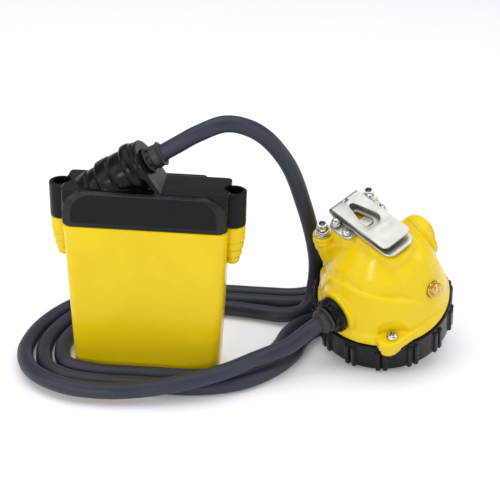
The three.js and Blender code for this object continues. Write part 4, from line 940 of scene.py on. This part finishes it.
blade_z = PLATE_Z + CLIP_THICK + BLADE_GAP
keyhole = slab(teardrop(*KEYHOLE), blade_z - 0.8, blade_z + 3, 0.05)
plate_hole = slab(teardrop(*PLATE_HOLE), PLATE_Z - 1, PLATE_Z + 2, 0.05)
notch = block(fold_u - 1.2, fold_u + 5, -1.5, 1.5, fold_z + 0.3, blade_z + 4)
clip = worked(standing(carved(clip, keyhole, plate_hole, notch)), ("BEVEL", {
    "width": 0.18, "segments": 2, "limit_method": "ANGLE", "angle_limit": radians(60)}))

# Satin spring steel: rolled strip with its grain along the length, faintly warm, with handling marks.
# The rolling lines are 0.05 mm apart and are drawn at 0.25 mm so that they show.
spring_steel, add, place = bare_material("satin_rolled_spring_steel")
along = add("Mapping", place, Rotation=(0, 0, -CLIP_ANGLE - HEAD_TURN), Scale=(0.06, 1, 1))
lines = add("TexNoise", along, Scale=1 / 0.00025, Detail=3, Roughness=0.7)
marks = add("TexNoise", place, Scale=1 / 0.007, Detail=4)
tone = add("MapRange", marks, From_Min=0.35, From_Max=0.65)
steel_tone = add("MixRGB", tone, "#BFBDB7", "#CECCC7")
gloss = add("MapRange", lines, From_Min=0.35, From_Max=0.65, To_Min=0.3, To_Max=0.44)
relief = add("Bump", Height=lines, Distance=0.00002, Strength=0.5)
add("OutputMaterial", add("BsdfPrincipled", steel_tone, Roughness=gloss, Metallic=1, Normal=relief))
fitted("folded_hat_clip", clip, spring_steel, "hook_clip", place=HEAD @ CLIP)

SADDLE, SADDLE_HOLE = (8.5, 24, -15, 15), (14.4, 20.4, -4, 4)
saddle = carved(slab(rounded_box(*SADDLE, 3), HOUSING_TOP + 0.3, PLATE_Z - 0.3, 0.2),
                block(*SADDLE_HOLE, 40, 60),
                *[rod(1.7, 40, 60, Matrix.Translation((u, side * v, 0)))
                  for u, v in (CLIP_SCREW, BRACKET_SCREW) for side in (-1, 1)])
fitted("clip_saddle", saddle, spring_steel, "clip_bracket", place=HEAD @ CLIP)


# --- The pan-head screws ---
# Zinc-plated screws: two with cross recesses hold the clip, two with hexagon bases and domed tops hold
# its saddle, and a larger one with a cross recess locks the bezel.

def pan_screw(head_radius, head_height, shank, length):
    body = turned([(0, -length), (shank * 0.6, -length), (shank, 0.9 - length), (shank, 0),
                   (head_radius, 0), (head_radius, head_height * 0.45), (head_radius * 0.72, head_height),
                   (0, head_height * 1.04)], 56, 0.45)
    arm, half = head_radius * 0.58, head_radius * 0.14
    recess = [block(-x, x, -y, y, head_height * 0.3, head_height + 1) for x, y in ((arm, half), (half, arm))]
    return carved(body, *recess)


small_screw = (2.4, 1.6, 1.4, 6.5)
domed_bolt = gathered(
    rod(1.4, -6.5, 0.2, edge=0.2), slab(hexagon(2.9), 0, 1.8),
    turned([(0, 1.5), (2.35, 1.5), (2.3, 2.6), (1.7, 3.7), (0.8, 4.2), (0, 4.3)], 48, 0.3))
for side, name in ((1, "near"), (-1, "far")):
    fitted(f"clip_pan_screw_{name}", pan_screw(*small_screw), plated_steel,
           f"clip_screw_{name}", place=HEAD @ at_clip(CLIP_SCREW, side, PLATE_Z) @ turned_about(0.5 * side))
    fitted(f"saddle_domed_bolt_{name}", domed_bolt.copy(), plated_steel,
           f"bracket_screw_{name}", place=HEAD @ at_clip(BRACKET_SCREW, side, PLATE_Z))
fitted("bezel_locking_screw", pan_screw(3, 1.9, 1.7, 12), plated_steel, "bezel_lock_screw",
       place=HEAD @ LUG_SCREW @ Matrix.Translation((0, 0, LUG_TOP + 0.3)) @ turned_about(0.4))


# --- The charging posts ---
# Two hollow plated posts on the housing's bosses, each under a washer and a hexagon nut. The charger's
# pins go into their bores.

post = turned([(0, -11), (1.9, -11), (1.9, 0.3), (2.7, 0.3), (2.7, 4.6), (2.45, 4.9), (2.45, 5.4),
               (2.7, 5.7), (2.7, 7.8), (1.7, 7.8), (1.7, 3), (0, 3)], 48, 0.2, base=POST_BOSS_TOP)
washer = turned([(3, 0.3), (4.3, 0.3), (4.3, 1.1), (3, 1.1)], 64, 0.15, hollow=True, base=POST_BOSS_TOP)
nut = carved(slab(hexagon(4.1), POST_BOSS_TOP + 1.2, POST_BOSS_TOP + 3.7, 0.35),
             rod(3, 30, 60, sides=48))
for side, name in ((1, "near"), (-1, "far")):
    fitted(f"hollow_charging_post_{name}", post.copy(), plated_steel, f"charging_post_{name}",
           place=HEAD @ at_clip(POST_PLACE, side))
    fitted(f"hexagon_nut_{name}", gathered(washer, nut), plated_steel, f"post_nut_{name}",
           place=HEAD @ at_clip(POST_PLACE, side) @ turned_about(0.3))


# --- The contact stud ---
# A turned brass stud on the housing's side, the second pole for the charger: a flange against the boss,
# a neck, and a button with a small centre drilling.

stud = turned([(0, 24), (2.2, 24), (2.2, 32.1), (4.3, 32.1), (4.3, 33.3), (3.3, 33.6), (3.3, 34.1),
               (3.7, 34.4), (3.7, 36.2), (3.2, 36.7), (1, 36.7), (0.9, 36.2), (0, 35.9)], 64, 0.2)
# Turned brass: warm yellow and bright, but browner and duller where tarnish lies in patches.
brass, add, place = bare_material("turned_brass")
tarnish = add("TexNoise", place, Scale=1 / 0.002, Detail=4, Roughness=0.65)
aged = add("MapRange", tarnish, From_Min=0.4, From_Max=0.68)
tone = add("MixRGB", aged, "#E0C07C", "#C1984F")
gloss = add("MapRange", tarnish, From_Min=0.35, From_Max=0.65, To_Min=0.2, To_Max=0.38)
add("OutputMaterial", add("BsdfPrincipled", tone, Roughness=gloss, Metallic=1))
fitted("brass_contact_stud", stud, brass, "contact_stud", place=HEAD @ STUD)


# --- The cable gland ---
# A black ABS nut with bumps for a spanner closes the gland, and a ribbed neoprene sleeve under it
# carries the cable's bend away from the seal.

NUT_FACE = GLAND_FACE + 0.3
gland_nut = turned([(4.4, 0), (9.8, 0), (9.8, 2.7), (8.3, 3), (8.3, 5), (6.8, 5.6), (4.4, 5.6)], 96, 0.45,
                   hollow=True, base=NUT_FACE)
bumps = [placed(slab(rounded_box(7.9, 9.7, -1, 1, 0.5, 4), NUT_FACE + 2, NUT_FACE + 5, 0.4),
                turned_about(pi * k / 6)) for k in range(12)]
fitted("bumped_gland_nut", moulded(gathered(gland_nut, *bumps), 0.3, 1), black_abs,
       "gland_nut", place=HEAD @ GLAND)
sleeve = turned([(4.3, -5.3), (7.2, -5.3), (7.2, -3.9), (5.8, -3.5), (5.8, -2.7), (6.6, -2.4), (6.5, -1.1),
                 (5.9, -0.3), (4.75, 0), (4.7, 0.9), (4.3, 0.9)], 80, 0.3, hollow=True,
                base=GLAND_FACE + GLAND_LENGTH)
fitted("ribbed_gland_sleeve", sleeve, seal_rubber, "gland_sleeve", place=HEAD @ GLAND)


# --- The seals inside ---
# Moulded neoprene rings: one between the battery's case and cover, one behind the lens. Their solids
# are already the right shape, as are those of the other inner pieces below.

def finished(material, *nodes):
    """Gives inner pieces, whose solids are right as they are, their finish."""
    for node in nodes:
        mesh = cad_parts[node].data
        mesh.materials.clear()
        mesh.materials.append(material)


finished(seal_rubber, "cover_gasket", "lens_gasket")


# --- The cells ---
# Four steel-canned lithium cells, each in a blue PVC shrink sleeve: glossy, with faint draw lines round
# it, and paler in patches where it has stretched.

shrink_sleeve, add, place = bare_material("blue_pvc_shrink_sleeve")
draw = add("TexWave", place, bands_direction="Z", Scale=0.5 / 0.003, Distortion=6, Detail=2)
patches = add("TexNoise", place, Scale=1 / 0.01, Detail=3)
tone = add("MixRGB", patches, "#255E9E", "#3A7CC0")
relief = add("Bump", Height=draw, Distance=0.00003, Strength=0.4)
add("OutputMaterial", add("BsdfPrincipled", tone, Roughness=0.28, IOR=1.53, Normal=relief))
finished(shrink_sleeve, "cell_1", "cell_2", "cell_3", "cell_4")


# --- The trays and the switch's body ---
# Moulded from black polypropylene, which is waxy and duller than ABS, with a fine sparked texture.

polypropylene, add, place = bare_material("sparked_polypropylene")
spark = add("TexNoise", place, Scale=1 / 0.0005, Detail=3)
cloud = add("TexNoise", place, Scale=1 / 0.012, Detail=2)
tone = add("MixRGB", cloud, "#2B2B2D", "#3E3E40")
relief = add("Bump", Height=spark, Distance=0.00004, Strength=0.6)
add("OutputMaterial", add("BsdfPrincipled", tone, Roughness=0.58, IOR=1.49, Normal=relief))
finished(polypropylene, "lower_cell_tray", "upper_cell_tray", "switch_body")


# --- The strip that joins the cells ---
# Half-hard nickel strip, spot welded to each cell: satin, with a straw tint round the welds.

nickel, add, place = bare_material("welded_nickel_strip")
welds = add("TexVoronoi", place, Scale=1 / 0.006)
heat = add("MapRange", welds, From_Min=0.1, From_Max=0.4, To_Min=0.8, To_Max=0)
tone = add("MixRGB", heat, "#BDBEBA", "#A8935E")
grain = add("TexNoise", place, Scale=1 / 0.0008, Detail=3)
gloss = add("MapRange", grain, From_Min=0.3, From_Max=0.7, To_Min=0.25, To_Max=0.42)
add("OutputMaterial", add("BsdfPrincipled", tone, Roughness=gloss, Metallic=1))
finished(nickel, "nickel_strip")


# --- The circuit boards ---
# Glass-epoxy boards with a green solder mask: copper tracks 0.5 mm wide show through it as paler lines.

solder_mask, add, place = bare_material("green_solder_mask")
tracks = add("TexBrick", place, Scale=1 / 0.004, Mortar_Size=0.06, Color1="#14562C",
             Color2="#175C30", Mortar="#3B8A52")
relief = add("Bump", Height=tracks.outputs["Fac"], Distance=0.00004, Strength=0.5)
add("OutputMaterial", add("BsdfPrincipled", tracks, Roughness=0.32, IOR=1.5, Normal=relief))
finished(solder_mask, "protection_board", "driver_board")


# --- The heat sink and the diode's star board ---
# Turned from aluminium, and left bright: silver grey, with fine tool marks in its gloss and a dry oxide
# bloom in its tone.

aluminium, add, place = bare_material("turned_aluminium")
oxide = add("TexNoise", place, Scale=1 / 0.005, Detail=4)
tone = add("MixRGB", oxide, "#AEB1B5", "#C9CBCE")
rings = add("TexNoise", place, Scale=1 / 0.0007, Detail=2)
gloss = add("MapRange", rings, From_Min=0.3, From_Max=0.7, To_Min=0.28, To_Max=0.45)
add("OutputMaterial", add("BsdfPrincipled", tone, Roughness=gloss, Metallic=1))
finished(aluminium, "heat_sink", "led_board")
